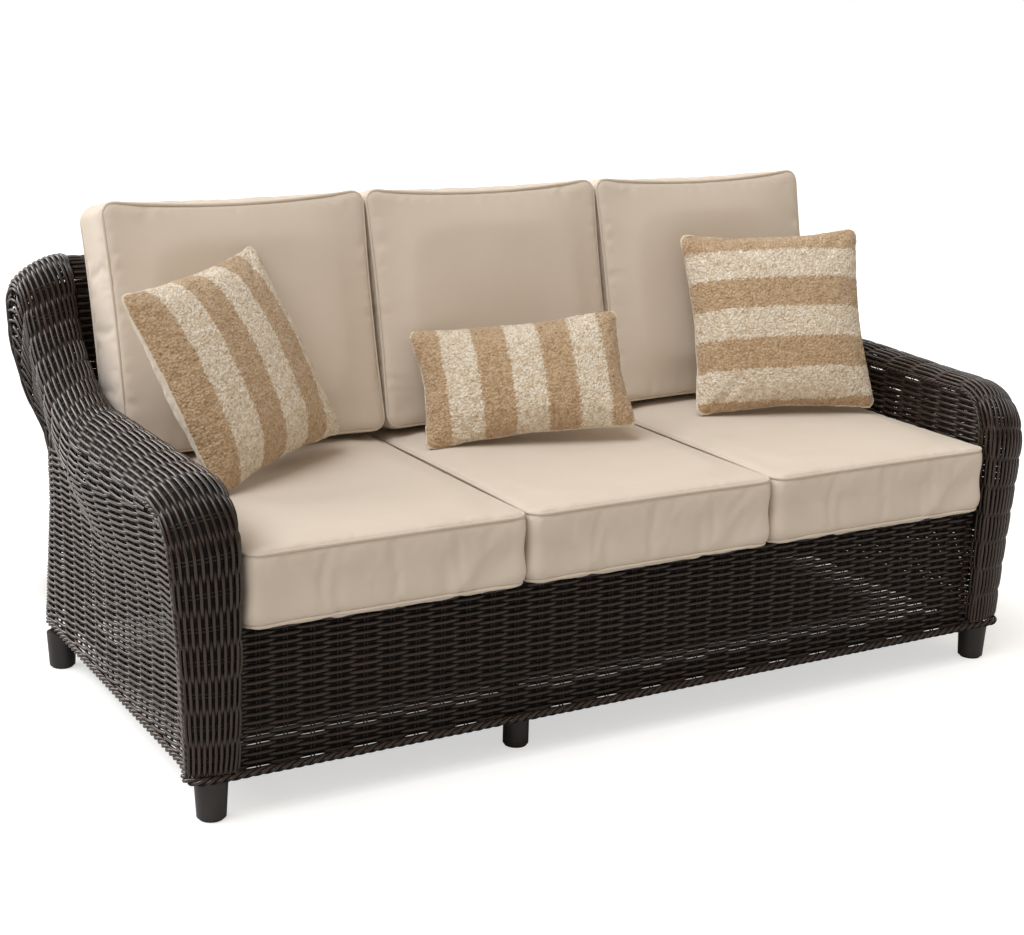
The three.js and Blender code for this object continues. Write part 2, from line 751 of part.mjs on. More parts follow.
const deckFront = frontPostY - tubeSide / 2 + seamGap;
const deckRear = rearSeatRailY + deckOverhang;
const crossX = (i) => ((i + 0.5) / crossStraps - 0.5) * 2 * wellHalf;
const lengthY = (i) => deckFront + ((i + 1) / (lengthStraps + 1)) * (deckRear - deckFront);
const crossPlaces = Array.from({ length: crossStraps }, (_, i) => crossX(i));
const lengthPlaces = Array.from({ length: lengthStraps }, (_, i) => lengthY(i));
crossPlaces.forEach((x, i) => {
  const [top, under] = wavyStrap(
    lengthPlaces, deckFront, deckRear, i % 2, (s, t, z) => new THREE.Vector3(x + t, s, z),
  );
  piece(`cross_strap_${i + 1}`, solidBetween(top, under, true), webbing);
});
lengthPlaces.forEach((y, i) => {
  const half = sideRailX + tubeSide / 2 - seamGap;
  const [top, under] = wavyStrap(
    crossPlaces, -half, half, (i + 1) % 2, (s, t, z) => new THREE.Vector3(s, y + t, z),
  );
  piece(`length_strap_${i + 1}`, solidBetween(top, under), webbing);
});

// A foot with a bore for its glide below and a neck above, which may stand off centre
function footGeometry(bottomRadius, topRadius, neckShift) {
  const boreRadius = glideStemRadius + glideClearance;
  const boreTopZ = glideThickness + glideStemLength + glideClearance;
  const bottomZ = glideThickness + glideClearance;
  const neckTopZ = lowerRailBottom - seamGap;
  const ring = (radius, z, shift) => Array.from({ length: footSides }, (_, i) => {
    const angle = (i / footSides) * 2 * Math.PI;
    return new THREE.Vector3(shift + radius * Math.cos(angle), radius * Math.sin(angle), z);
  });
  const rings = [
    ring(boreRadius, boreTopZ, 0),
    ring(boreRadius, bottomZ, 0),
    ring(bottomRadius, bottomZ, 0),
    ring(topRadius, footTopZ, 0),
    ring(footNeckRadius, footTopZ, neckShift),
    ring(footNeckRadius, neckTopZ, neckShift),
  ];
  return solidFromRings(rings, new THREE.Vector3(0, 0, boreTopZ), new THREE.Vector3(neckShift, 0, neckTopZ));
}

function glideGeometry() {
  const profile = [
    [0, 0],
    [glideRadius, 0],
    [glideRadius, glideThickness],
    [glideStemRadius, glideThickness],
    [glideStemRadius, glideThickness + glideStemLength],
    [0, glideThickness + glideStemLength],
  ];
  const lathe = new THREE.LatheGeometry(profile.map(([r, z]) => new THREE.Vector2(r, z)), footSides);
  return lathe.rotateX(Math.PI / 2);
}

const frontFootX = wellHalf + frontFootOut;
const rearFootX = wellHalf + rearFootOut;
const rearFootY = rearY - rearFootInset;
const feet = [
  ['front_left', -frontFootX, frontPostY, footBottomRadius, footTopRadius, 0],
  ['front_right', frontFootX, frontPostY, footBottomRadius, footTopRadius, 0],
  ['rear_left', -rearFootX, rearFootY, footBottomRadius, footTopRadius, rearNeckShift],
  ['rear_right', rearFootX, rearFootY, footBottomRadius, footTopRadius, -rearNeckShift],
  ['middle', middleFootX, frontPostY + middleFootSetBack, middleFootRadius, middleFootRadius, 0],
];
for (const [name, x, y, bottomRadius, topRadius, neckShift] of feet) {
  const foot = footGeometry(bottomRadius, topRadius, neckShift);
  piece(`${name}_foot`, foot, footPaint).position.set(x, y, 0);
  piece(`${name}_glide`, glideGeometry(), glidePlastic).position.set(x, y, 0);
}

// Outline of a cushion: rounded corners, with sides drawn in between them
function softOutline(width, depth, radius, drawIn) {
  const points = [];
  const halfW = width / 2;
  const halfD = depth / 2;
  const corners = [[1, 1, 0], [-1, 1, 1], [-1, -1, 2], [1, -1, 3]];
  corners.forEach(([sx, sy, quarter], corner) => {
    for (let i = 0; i <= cornerSteps; i += 1) {
      const angle = (quarter + i / cornerSteps) * Math.PI / 2;
      points.push(new THREE.Vector2(
        sx * (halfW - radius) + radius * Math.cos(angle),
        sy * (halfD - radius) + radius * Math.sin(angle),
      ));
    }
    const next = corners[(corner + 1) % corners.length];
    const start = points[points.length - 1];
    const end = new THREE.Vector2(
      next[0] * (halfW - radius) + radius * Math.cos(next[2] * Math.PI / 2),
      next[1] * (halfD - radius) + radius * Math.sin(next[2] * Math.PI / 2),
    );
    for (const share of outlineSideShares) {
      const point = start.clone().lerp(end, share);
      const inward = drawIn * 4 * share * (1 - share);
      const across = end.clone().sub(start).normalize();
      points.push(point.add(new THREE.Vector2(-across.y, across.x).multiplyScalar(inward)));
    }
  });
  return points;
}

// A closed solid from stacked rings of one outline, closed by a point at each end
function solidFromRings(rings, bottom, top) {
  const count = rings[0].length;
  const positions = [...rings.flat(), bottom, top].flatMap((p) => [p.x, p.y, p.z]);
  const bottomIndex = rings.length * count;
  const index = [];
  for (let j = 0; j < count; j += 1) {
    const next = (j + 1) % count;
    for (let i = 0; i < rings.length - 1; i += 1) {
      const a = i * count;
      const b = (i + 1) * count;
      index.push(a + j, a + next, b + next, a + j, b + next, b + j);
    }
    const last = (rings.length - 1) * count;
    index.push(bottomIndex, next, j, bottomIndex + 1, last + j, last + next);
  }
  const geometry = new THREE.BufferGeometry();
  geometry.setAttribute('position', new THREE.Float32BufferAttribute(positions, 3));
  geometry.setIndex(index);
  geometry.computeVertexNormals();
  return geometry;
}

const crownShape = (x, y, width, depth) =>
  Math.sqrt(Math.max(0, (1 - (2 * x / width) ** 2) * (1 - (2 * y / depth) ** 2)));

// A boxed cushion lying flat: welted edges, a bulging box and a crown on each face
function boxCushion(width, depth, thickness, bottomCrown, topCrown) {
  const edge = softOutline(
    width - 2 * cushionBoxBulge, depth - 2 * cushionBoxBulge, cushionCornerRadius, cushionDrawIn,
  );
  const grown = (point, grow) => point.clone()
    .multiply(new THREE.Vector2(1 + 2 * grow / width, 1 + 2 * grow / depth));
  const half = thickness / 2;
  const face = (shares, base, crown) => shares.map((share) => edge.map((point) => {
    const at = point.clone().multiplyScalar(share);
    return new THREE.Vector3(at.x, at.y, base + crown * crownShape(at.x, at.y, width, depth) * (share < 1));
  }));
  const box = [
    [-half, -cushionUnderTuck],
    [-half / 2, cushionBoxBulge],
    [half / 2, cushionBoxBulge],
    [half, 0],
  ].map(([z, grow]) => edge.map((point) => {
    const at = grown(point, grow);
    return new THREE.Vector3(at.x, at.y, z);
  }));
  const lower = face([...cushionFaceShares].reverse(), -half, -bottomCrown);
  const upper = face(cushionFaceShares, half, topCrown);
  return solidFromRings(
    [...lower, ...box, ...upper],
    new THREE.Vector3(0, 0, -half - bottomCrown),
    new THREE.Vector3(0, 0, half + topCrown),
  );
}

// A knife-edged pillow lying flat, full in the middle and thin at its seam
function pillow(width, depth, thickness) {
  const edge = softOutline(width, depth, pillowCornerRadius, pillowDrawIn);
  const ring = (share, side) => edge.map((point) => {
    const at = point.clone().multiplyScalar(share);
    const fill = crownShape(at.x, at.y, width, depth) ** pillowFullnessShare;
    return new THREE.Vector3(at.x, at.y, share < 1 ? side * (thickness / 2) * fill : 0);
  });
  const lower = [...pillowFaceShares].reverse().map((share) => ring(share, -1));
  const upper = pillowFaceShares.map((share) => ring(share, 1));
  return solidFromRings(
    [...lower, ring(1, 1), ...upper],
    new THREE.Vector3(0, 0, -thickness / 2),
    new THREE.Vector3(0, 0, thickness / 2),
  );
}

const placeNames = ['left', 'middle', 'right'];
const cushionWidth = seatPitch - 2 * cushionSideGap;
const placeX = (place) => seamX(place + 0.5);

const seatMeshes = placeNames.map((name, place) => {
  const seat = boxCushion(cushionWidth, seatCushionDepth, seatCushionThickness, 0, seatCushionCrown);
  const mesh = piece(`${name}_seat_cushion`, seat, canvas);
  mesh.position.set(placeX(place), seatCushionDepth / 2, seatBottomZ + seatCushionThickness / 2);
  mesh.updateWorldMatrix(true, false);
  return mesh;
});

// The least height between the corners of one set of meshes and the faces of another
function leastHeight(fromMeshes, direction, toMeshes) {
  const ray = new THREE.Raycaster();
  let least = Infinity;
  for (const mesh of fromMeshes) {
    const position = mesh.geometry.getAttribute('position');
    for (let i = 0; i < position.count; i += 1) {
      const corner = new THREE.Vector3().fromBufferAttribute(position, i).applyMatrix4(mesh.matrixWorld);
      ray.set(corner, direction);
      const hits = ray.intersectObjects(toMeshes, false);
      if (hits.length > 0) least = Math.min(least, hits[0].distance);
    }
  }
  return least;
}

// Lowers a turned soft piece from above until it rests on the seat
function restOnSeat(mesh) {
  mesh.updateWorldMatrix(true, false);
  const down = alongZ.clone().negate();
  const clearance = Math.min(leastHeight([mesh], down, seatMeshes), leastHeight(seatMeshes, alongZ, [mesh]));
  mesh.position.z -= clearance - restGap;
}

placeNames.forEach((name, place) => {
  const back = boxCushion(
    cushionWidth, backCushionHeight, backCushionThickness, backCushionCrown, backCushionCrown,
  );
  const backMesh = piece(`${name}_back_cushion`, back, canvas);
  backMesh.rotation.x = Math.PI / 2 - backLean;
  const middle = new THREE.Vector3(placeX(place), backCushionFrontY, seatTopZ);
  const upLean = new THREE.Vector3(0, Math.sin(backLean), Math.cos(backLean));
  const backward = new THREE.Vector3(0, Math.cos(backLean), -Math.sin(backLean));
  middle.addScaledVector(upLean, backCushionHeight / 2).addScaledVector(backward, backCushionThickness / 2);
  middle.z += liftBeforeRest;
  backMesh.position.copy(middle);
  restOnSeat(backMesh);
});

function restingPillow(name, geometry, x, y, turn, lean, roll) {
  const mesh = piece(name, geometry, boucle);
  const upright = new THREE.Quaternion().setFromAxisAngle(alongX, Math.PI / 2 - lean);
  const rolled = new THREE.Quaternion().setFromAxisAngle(alongZ, roll);
  const turned = new THREE.Quaternion().setFromAxisAngle(alongZ, turn);
  mesh.quaternion.copy(turned).multiply(upright).multiply(rolled);
  mesh.position.set(x, y, seatTopZ + pillowSide + liftBeforeRest);
  restOnSeat(mesh);
}

restingPillow(
  'left_throw_pillow', pillow(pillowSide, pillowSide, pillowThickness),
  placeX(0) + leftPillowShift, backCushionFrontY - leftPillowForward,
  leftPillowTurn, leftPillowLean, leftPillowRoll,
);
restingPillow(
  'lumbar_pillow', pillow(lumbarWidth, lumbarHeight, lumbarThickness),
  placeX(1) + lumbarShift, backCushionFrontY - lumbarForward,
  lumbarTurn, lumbarLean, lumbarRoll,
);
restingPillow(
  'right_throw_pillow', pillow(pillowSide, pillowSide, pillowThickness),
  placeX(2) + rightPillowShift, backCushionFrontY - rightPillowForward,
  rightPillowTurn, rightPillowLean, rightPillowRoll,
);

// The origin is on the floor under the middle of the whole sofa
const footprint = new THREE.Box3().setFromObject(model);
model.position.y = -(footprint.min.y + footprint.max.y) / 2;
sofa.updateWorldMatrix(true, true);

export default sofa;
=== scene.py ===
import math
import random

import bpy
import numpy as np
from mathutils import Matrix, Vector, noise
from mathutils.bvhtree import BVHTree
from mathutils.kdtree import KDTree


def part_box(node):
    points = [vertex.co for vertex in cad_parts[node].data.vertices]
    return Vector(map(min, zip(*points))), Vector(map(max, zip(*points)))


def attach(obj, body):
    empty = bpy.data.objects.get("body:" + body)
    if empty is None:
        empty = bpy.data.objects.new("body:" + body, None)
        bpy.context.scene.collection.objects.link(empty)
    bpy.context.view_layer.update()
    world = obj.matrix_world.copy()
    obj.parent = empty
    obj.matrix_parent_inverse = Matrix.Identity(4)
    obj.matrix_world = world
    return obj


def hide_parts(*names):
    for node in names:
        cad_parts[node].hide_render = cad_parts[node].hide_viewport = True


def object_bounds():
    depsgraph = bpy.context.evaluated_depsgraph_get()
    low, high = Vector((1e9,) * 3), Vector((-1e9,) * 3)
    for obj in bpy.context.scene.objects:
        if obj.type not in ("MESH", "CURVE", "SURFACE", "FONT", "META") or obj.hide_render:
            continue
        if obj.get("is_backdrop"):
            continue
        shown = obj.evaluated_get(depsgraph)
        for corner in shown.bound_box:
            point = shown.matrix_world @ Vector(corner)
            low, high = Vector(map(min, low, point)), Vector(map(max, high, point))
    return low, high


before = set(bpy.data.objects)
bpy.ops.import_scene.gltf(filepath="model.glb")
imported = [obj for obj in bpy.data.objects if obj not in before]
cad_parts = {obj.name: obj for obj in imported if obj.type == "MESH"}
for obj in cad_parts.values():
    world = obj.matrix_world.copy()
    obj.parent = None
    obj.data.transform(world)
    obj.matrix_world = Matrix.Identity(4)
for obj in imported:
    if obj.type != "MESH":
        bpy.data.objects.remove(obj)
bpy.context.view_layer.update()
scene = bpy.context.scene

# Lengths are in millimetres, with y counted from the front of the seat
MM = 0.001
SEAT_FRONT_TO_MIDDLE = 474.727

# Camera, fitted to the photograph
SENSOR_WIDTH, PHOTO_WIDTH_PX, FOCAL_PX = 36.0, 1024.0, 1957.61
VIEW_FROM = (-2.0640, -3.3794, 1.5044)
VIEW_TURN, VIEW_DIP, VIEW_ROLL = (math.radians(a) for a in (30.903, 15.258, 1.536))
camera = bpy.data.objects.new("camera", bpy.data.cameras.new("camera"))
scene.collection.objects.link(camera)
scene.camera = camera
camera.data.sensor_width = SENSOR_WIDTH
camera.data.lens = FOCAL_PX * SENSOR_WIDTH / PHOTO_WIDTH_PX
camera.data.clip_end = 60.0
camera.matrix_world = (
    Matrix.Translation(VIEW_FROM)
    @ Matrix.Rotation(-VIEW_TURN, 4, "Z")
    @ Matrix.Rotation(math.pi / 2 - VIEW_DIP, 4, "X")
    @ Matrix.Rotation(VIEW_ROLL, 4, "Z")
)
scene.view_settings.view_transform = "Standard"


# Small helpers
def linear(code):
    parts = [int(code[i : i + 2], 16) / 255 for i in (1, 3, 5)]
    return tuple(c / 12.92 if c <= 0.04045 else ((c + 0.055) / 1.055) ** 2.4 for c in parts) + (1.0,)


def add_node(tree, kind, inputs=None, **settings):
    """Adds a node; an input takes a value, a hex colour, a socket, or the node whose result it uses."""
    node = tree.nodes.new(kind)
    for key, value in settings.items():
        setattr(node, key, value)
    for key, value in (inputs or {}).items():
        by_name = isinstance(key, str)
        socket = next(s for s in node.inputs if s.enabled and s.name == key) if by_name else node.inputs[key]
        if isinstance(value, bpy.types.Node):
            value = next(s for s in value.outputs if s.enabled)
        if isinstance(value, bpy.types.NodeSocket):
            tree.links.new(value, socket)
        elif isinstance(value, str) and value.startswith("#"):
            socket.default_value = linear(value)
        else:
            socket.default_value = value
    return node


def place(points):
    return (np.asarray(points, float) - (0.0, SEAT_FRONT_TO_MIDDLE, 0.0)) * MM


def unit(v):
    v = np.asarray(v, float)
    return v / np.maximum(np.linalg.norm(v, axis=-1, keepdims=True), 1e-12)


def lerp(a, b, t):
    return a + (b - a) * t


def eased(a, b, t):
    return lerp(a, b, t * t * (3 - 2 * t))


def walked_length(points):
    return np.concatenate([[0], np.cumsum(np.linalg.norm(np.diff(points, axis=0), axis=1))])


def sampled(line, walk, at):
    """The columns of a line read at places along it."""
    return np.stack([np.interp(at, walk, column) for column in np.asarray(line).T], -1)


def resampled(line, count):
    walk = walked_length(line)
    return sampled(line, walk, np.linspace(0, walk[-1], count))


def mirrored(points, side):
    return np.asarray(points, float) * (side, 1, 1)


def side_name(side):
    return "left" if side < 0 else "right"


# Materials
def new_material(name):
    material = bpy.data.materials.new(name)
    material.use_nodes = True
    material.node_tree.nodes.clear()
    return material, material.node_tree


def pattern_scale(cell):
    """The scale of a pattern whose cells are that many millimetres wide."""
    return 1 / (cell * MM)


def resin_wicker():
    """Extruded resin strand, espresso with a satin skin: strands differ a little, with painted shade where
    they dive under stakes.
    """
    material, tree = new_material("resin wicker")
    where = add_node(tree, "ShaderNodeTexCoord").outputs["Object"]
    tone = add_node(tree, "ShaderNodeAttribute", attribute_name="tone").outputs["Fac"]
    lift = add_node(tree, "ShaderNodeAttribute", attribute_name="lift").outputs["Fac"]
    cloudy = {"Vector": where, "Scale": pattern_scale(18.18), "Detail": 2.0}
    blotch = add_node(tree, "ShaderNodeTexNoise", cloudy)
    shade = add_node(tree, "ShaderNodeMath", {0: tone, 1: blotch}, operation="ADD")
    half = add_node(tree, "ShaderNodeMath", {0: shade, 1: 0.5}, operation="MULTIPLY")
    espresso = {"Factor": half, "A": "#211710", "B": "#3d2e25"}
    skin = add_node(tree, "ShaderNodeMix", espresso, data_type="RGBA")
    # Painted shade: a strand's colour goes nearly black where it passes under a stake, standing in for the
    # shadow deep in the weave; it is also made rougher there
    below = {"Value": lift, "From Min": 0.1, "From Max": -0.85, "To Max": 0.97}
    painted_recess_shade = add_node(tree, "ShaderNodeMapRange", below)
    colour = add_node(tree, "ShaderNodeMix", {"Factor": painted_recess_shade, "A": skin, "B": "#060403"}, data_type="RGBA")
    satin = {"Value": lift, "From Min": 0.0, "From Max": -0.8, "To Min": 0.22, "To Max": 1.0}
    dull = add_node(tree, "ShaderNodeMapRange", satin)
    fine = {"Vector": where, "Scale": pattern_scale(1.11), "Detail": 1.0}
    grain = add_node(tree, "ShaderNodeTexNoise", fine)
    bump = add_node(tree, "ShaderNodeBump", {"Height": grain, "Strength": 0.25, "Distance": 0.4 * MM})
    finish = {"Base Color": colour, "Roughness": dull, "Specular IOR Level": 0.5, "Normal": bump}
    shader = add_node(tree, "ShaderNodeBsdfPrincipled", finish)
    add_node(tree, "ShaderNodeOutputMaterial", {"Surface": shader})
    return material


def dark_coat(name, code, roughness):
    """Powder paint on aluminium, or moulded black plastic: an even dark skin with a faint orange peel."""
    material, tree = new_material(name)
    where = add_node(tree, "ShaderNodeTexCoord").outputs["Object"]
    fine = {"Vector": where, "Scale": pattern_scale(2.22), "Detail": 1.0}
    peel = add_node(tree, "ShaderNodeTexNoise", fine)
    bump = add_node(tree, "ShaderNodeBump", {"Height": peel, "Strength": 0.12, "Distance": 0.5 * MM})
    finish = {"Base Color": code, "Roughness": roughness, "Normal": bump}
    shader = add_node(tree, "ShaderNodeBsdfPrincipled", finish)
    add_node(tree, "ShaderNodeOutputMaterial", {"Surface": shader})
    return material


def woven_cloth(name, code, darker):
    """Spun outdoor canvas or elastic: fine cloth, flat to the eye, with slubs and a soft bloom."""
    material, tree = new_material(name)
    where = add_node(tree, "ShaderNodeTexCoord").outputs["Object"]
    slubs = {"Vector": where, "Scale": pattern_scale(71.43), "Detail": 3.0}
    slub = add_node(tree, "ShaderNodeTexNoise", slubs)
    colour = add_node(tree, "ShaderNodeMix", {"Factor": slub, "A": darker, "B": code}, data_type="RGBA")
    threads = {"Vector": where, "Scale": pattern_scale(0.769), "Detail": 1.0}
    thread = add_node(tree, "ShaderNodeTexNoise", threads)
    bump = add_node(tree, "ShaderNodeBump", {"Height": thread, "Strength": 0.3, "Distance": 0.4 * MM})
    finish = {"Base Color": colour, "Roughness": 0.92, "Normal": bump}
    bloom = {"Sheen Weight": 0.15, "Sheen Roughness": 0.5}
    shader = add_node(tree, "ShaderNodeBsdfPrincipled", {**finish, **bloom})
    add_node(tree, "ShaderNodeOutputMaterial", {"Surface": shader})
    return material


def striped_boucle(name, edges):
    """Looped boucle yarn in tan and cream bands: small curls with painted shade in the gaps between them,
    ragged band edges.
    """
    material, tree = new_material(name)
    flat = add_node(tree, "ShaderNodeAttribute", attribute_name="flat").outputs["Vector"]
    yarn = {}
    for what, cell, detail in (
        ("fray", 5.88, 3.0),
        ("mottle", 13.33, 4.0),
        ("painted_gap_shade", 4.348, 3.0),
        ("fuzz", 3.03, 4.0),
    ):
        pattern = {"Vector": flat, "Scale": pattern_scale(cell), "Detail": detail}
        yarn[what] = add_node(tree, "ShaderNodeTexNoise", pattern)
    yarn["curls"] = add_node(tree, "ShaderNodeTexVoronoi", {"Vector": flat, "Scale": pattern_scale(5.405)})

    across = add_node(tree, "ShaderNodeSeparateXYZ", {0: flat})
    shifts = {"Value": yarn["fray"], "To Min": -11 * MM, "To Max": 11 * MM}
    ragged = add_node(tree, "ShaderNodeMapRange", shifts)
    moved = add_node(tree, "ShaderNodeMath", {0: across, 1: ragged}, operation="ADD")
    breadth = {"Value": moved, "From Min": edges[0], "From Max": edges[-1]}
    spread = add_node(tree, "ShaderNodeMapRange", breadth)
    colour = add_node(tree, "ShaderNodeValToRGB", {"Fac": spread})
    colours = [linear("#cdb292"), linear("#f3e9da")]
    width = edges[-1] - edges[0]
    soft = 1.8 * MM / width
    stops = [(0.0, colours[0])]
    for i, edge in enumerate(edges[1:-1]):
        share = (edge - edges[0]) / width
        stops += [(share - soft, colours[i % 2]), (share + soft, colours[(i + 1) % 2])]
    ramp = colour.color_ramp
    while len(ramp.elements) < len(stops):
        ramp.elements.new(0.5)
    for element, (position, band) in zip(ramp.elements, stops):
        element.position = position
        element.color = band

    # Mottle is the yarn's own colour; the other two darken with painted shade, in the gaps between the loops
    # and in the hollows between the curls
    for what, low, high, strength, code in (
        ("mottle", 0.35, 0.7, 1.0, "#e6dbca"),
        ("painted_gap_shade", 0.52, 0.7, 0.6, "#a8967d"),
        ("curls", 0.4, 0.85, 0.42, "#b09f88"),
    ):
        amount = {"Value": yarn[what], "From Min": low, "From Max": high, "To Max": strength}
        factor = add_node(tree, "ShaderNodeMapRange", amount)
        dyed = {"Factor": factor, "A": colour, "B": code}
        colour = add_node(tree, "ShaderNodeMix", dyed, data_type="RGBA", blend_type="MULTIPLY")
    loops = add_node(tree, "ShaderNodeMath", {0: yarn["fuzz"], 1: yarn["curls"]}, operation="SUBTRACT")
    bump = add_node(tree, "ShaderNodeBump", {"Height": loops, "Strength": 1.0, "Distance": 3.2 * MM})
    finish = {"Base Color": colour, "Roughness": 0.95, "Sheen Weight": 0.3, "Normal": bump}
    shader = add_node(tree, "ShaderNodeBsdfPrincipled", finish)
    add_node(tree, "ShaderNodeOutputMaterial", {"Surface": shader})
    return material


wicker = resin_wicker()
canvas = woven_cloth("outdoor canvas", "#d5c8bb", "#cec1b3")
welt_cloth = woven_cloth("canvas welt", "#d3c7b9", "#c9bdae")
pillow_back = woven_cloth("plain pillow cloth", "#ded2c0", "#d2c5b1")
slot_materials = {
    "frame_tube": dark_coat("bronze powder paint", "#1c1816", roughness=0.5),
    "webbing": woven_cloth("elastic webbing", "#2c2a28", "#232120"),
    "foot": dark_coat("dark foot paint", "#262120", roughness=0.42),
    "glide": dark_coat("black glide plastic", "#151515", roughness=0.6),
}
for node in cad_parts.values():
    for index, held in enumerate(node.data.materials):
        slot = held.name.split(".")[0] if held else ""
        if slot in slot_materials:
            node.data.materials[index] = slot_materials[slot]


# Strands that follow guides
def strand_tree():
    """Turns guide lines into round strands that wave over and under, or twist round the guide."""
    tree = bpy.data.node_groups.new("strands along guides", "GeometryNodeTree")
    face = tree.interface
    face.new_socket("Guides", in_out="INPUT", socket_type="NodeSocketGeometry")
    for name, kind, value in (
        ("Strand radius", "NodeSocketFloat", 2.4 * MM),
        ("Wave height", "NodeSocketFloat", 2.4 * MM),
        ("Squareness", "NodeSocketFloat", 0.05),
        ("Swing", "NodeSocketFloat", 0.0),
        ("Sag", "NodeSocketFloat", 0.0),
        ("Segment length", "NodeSocketFloat", 12 * MM),
        ("Unevenness", "NodeSocketFloat", 0.0),
        ("Sides", "NodeSocketInt", 6),
        ("Seed", "NodeSocketInt", 1),
    ):
        face.new_socket(name, in_out="INPUT", socket_type=kind).default_value = value
    face.new_socket("Material", in_out="INPUT", socket_type="NodeSocketMaterial")
    face.new_socket("Strands", in_out="OUTPUT", socket_type="NodeSocketGeometry")
    given = add_node(tree, "NodeGroupInput").outputs
    named = {}
    for name, kind in (("phase", "FLOAT"), ("facing", "FLOAT_VECTOR"), ("sideways", "FLOAT_VECTOR")):
        named[name] = add_node(tree, "GeometryNodeInputNamedAttribute", {"Name": name}, data_type=kind)

    # The wave is a sine with flattened tops; the swing is a quarter turn away from it
    turn = add_node(tree, "ShaderNodeMath", {0: named["phase"], 1: 2 * math.pi}, operation="MULTIPLY")
    sine = add_node(tree, "ShaderNodeMath", {0: turn}, operation="SINE")
    cosine = add_node(tree, "ShaderNodeMath", {0: turn}, operation="COSINE")
    driven = add_node(tree, "ShaderNodeMath", {0: sine, 1: given["Squareness"]}, operation="MULTIPLY")
    steep = add_node(tree, "ShaderNodeMath", {0: driven}, operation="TANH")
    full = add_node(tree, "ShaderNodeMath", {0: given["Squareness"]}, operation="TANH")
    wave = add_node(tree, "ShaderNodeMath", {0: steep, 1: full}, operation="DIVIDE")
    height = add_node(tree, "ShaderNodeMath", {0: wave, 1: given["Wave height"]}, operation="MULTIPLY")
    dip = add_node(tree, "ShaderNodeMath", {0: wave, 1: given["Sag"]}, operation="MULTIPLY")
    swung = {0: cosine, 1: given["Swing"], 2: dip}
    aside = add_node(tree, "ShaderNodeMath", swung, operation="MULTIPLY_ADD")
    out = add_node(tree, "ShaderNodeVectorMath", {0: named["facing"], "Scale": height}, operation="SCALE")
    across = add_node(tree, "ShaderNodeVectorMath", {0: named["sideways"], "Scale": aside}, operation="SCALE")
    waved = add_node(tree, "ShaderNodeVectorMath", {0: out, 1: across}, operation="ADD")

    spot = add_node(tree, "GeometryNodeInputPosition")
    cloudy = {"Vector": spot, "W": given["Seed"], "Scale": 60.0, "Detail": 0.0}
    drift = add_node(tree, "ShaderNodeTexNoise", cloudy, noise_dimensions="4D").outputs["Color"]
    centred = add_node(tree, "ShaderNodeVectorMath", {0: drift, 1: (0.5, 0.5, 0.5)}, operation="SUBTRACT")
    slight = {0: centred, "Scale": given["Unevenness"]}
    uneven = add_node(tree, "ShaderNodeVectorMath", slight, operation="SCALE")
    offset = add_node(tree, "ShaderNodeVectorMath", {0: waved, 1: uneven}, operation="ADD")

    lines = add_node(tree, "GeometryNodeMeshToCurve", {"Mesh": given["Guides"]})
    steps = {"Curve": lines, "Length": given["Segment length"]}
    fine = add_node(tree, "GeometryNodeResampleCurve", steps, mode="LENGTH")
    # The lift is kept on the strands for the wicker's painted shade under the stakes
    mark = {"Geometry": fine, "Name": "lift", "Value": wave}
    marked = add_node(tree, "GeometryNodeStoreNamedAttribute", mark, data_type="FLOAT", domain="POINT")
    moved = add_node(tree, "GeometryNodeSetPosition", {"Geometry": marked, "Offset": offset})
    ring = {"Resolution": given["Sides"], "Radius": given["Strand radius"]}
    section = add_node(tree, "GeometryNodeCurvePrimitiveCircle", ring)
    sweep = {"Curve": moved, "Profile Curve": section, "Fill Caps": True}
    tubes = add_node(tree, "GeometryNodeCurveToMesh", sweep)
    smooth = add_node(tree, "GeometryNodeSetShadeSmooth", {"Geometry": tubes})
    real = add_node(tree, "GeometryNodeRealizeInstances", {"Geometry": smooth})
    coat = {"Geometry": real, "Material": given["Material"]}
    coated = add_node(tree, "GeometryNodeSetMaterial", coat)
    add_node(tree, "NodeGroupOutput", {0: coated})
    return tree


STRANDS = strand_tree()
SOCKETS = {
    item.name: item.identifier
    for item in STRANDS.interface.items_tree
    if getattr(item, "in_out", "") == "INPUT"
}


def modified(mesh, kind, settings, inputs=None):
    """The plain mesh that one modifier makes; inputs are those of its node tree, by name."""
    holder = bpy.data.objects.new("form", mesh)
    scene.collection.objects.link(holder)
    modifier = holder.modifiers.new("form", kind)
    for name, value in settings.items():
        setattr(modifier, name, value)
    for name, value in (inputs or {}).items():
        modifier[SOCKETS[name]] = value
    depsgraph = bpy.context.evaluated_depsgraph_get()
    depsgraph.update()
    made = bpy.data.meshes.new_from_object(holder.evaluated_get(depsgraph))
    bpy.data.objects.remove(holder)
    return made


def guide(points, facing, phase, sideways=None, tone=0.5):
    """A line for one strand, with the way it waves, the way it swings and how many turns it has made."""
    points = place(points)
    facing = np.broadcast_to(unit(facing), points.shape)
    if sideways is None:
        sideways = np.cross(np.gradient(points, axis=0), facing)
    sideways = np.broadcast_to(unit(sideways), points.shape)
    return points, facing, sideways, np.broadcast_to(np.asarray(phase, float), len(points)), tone


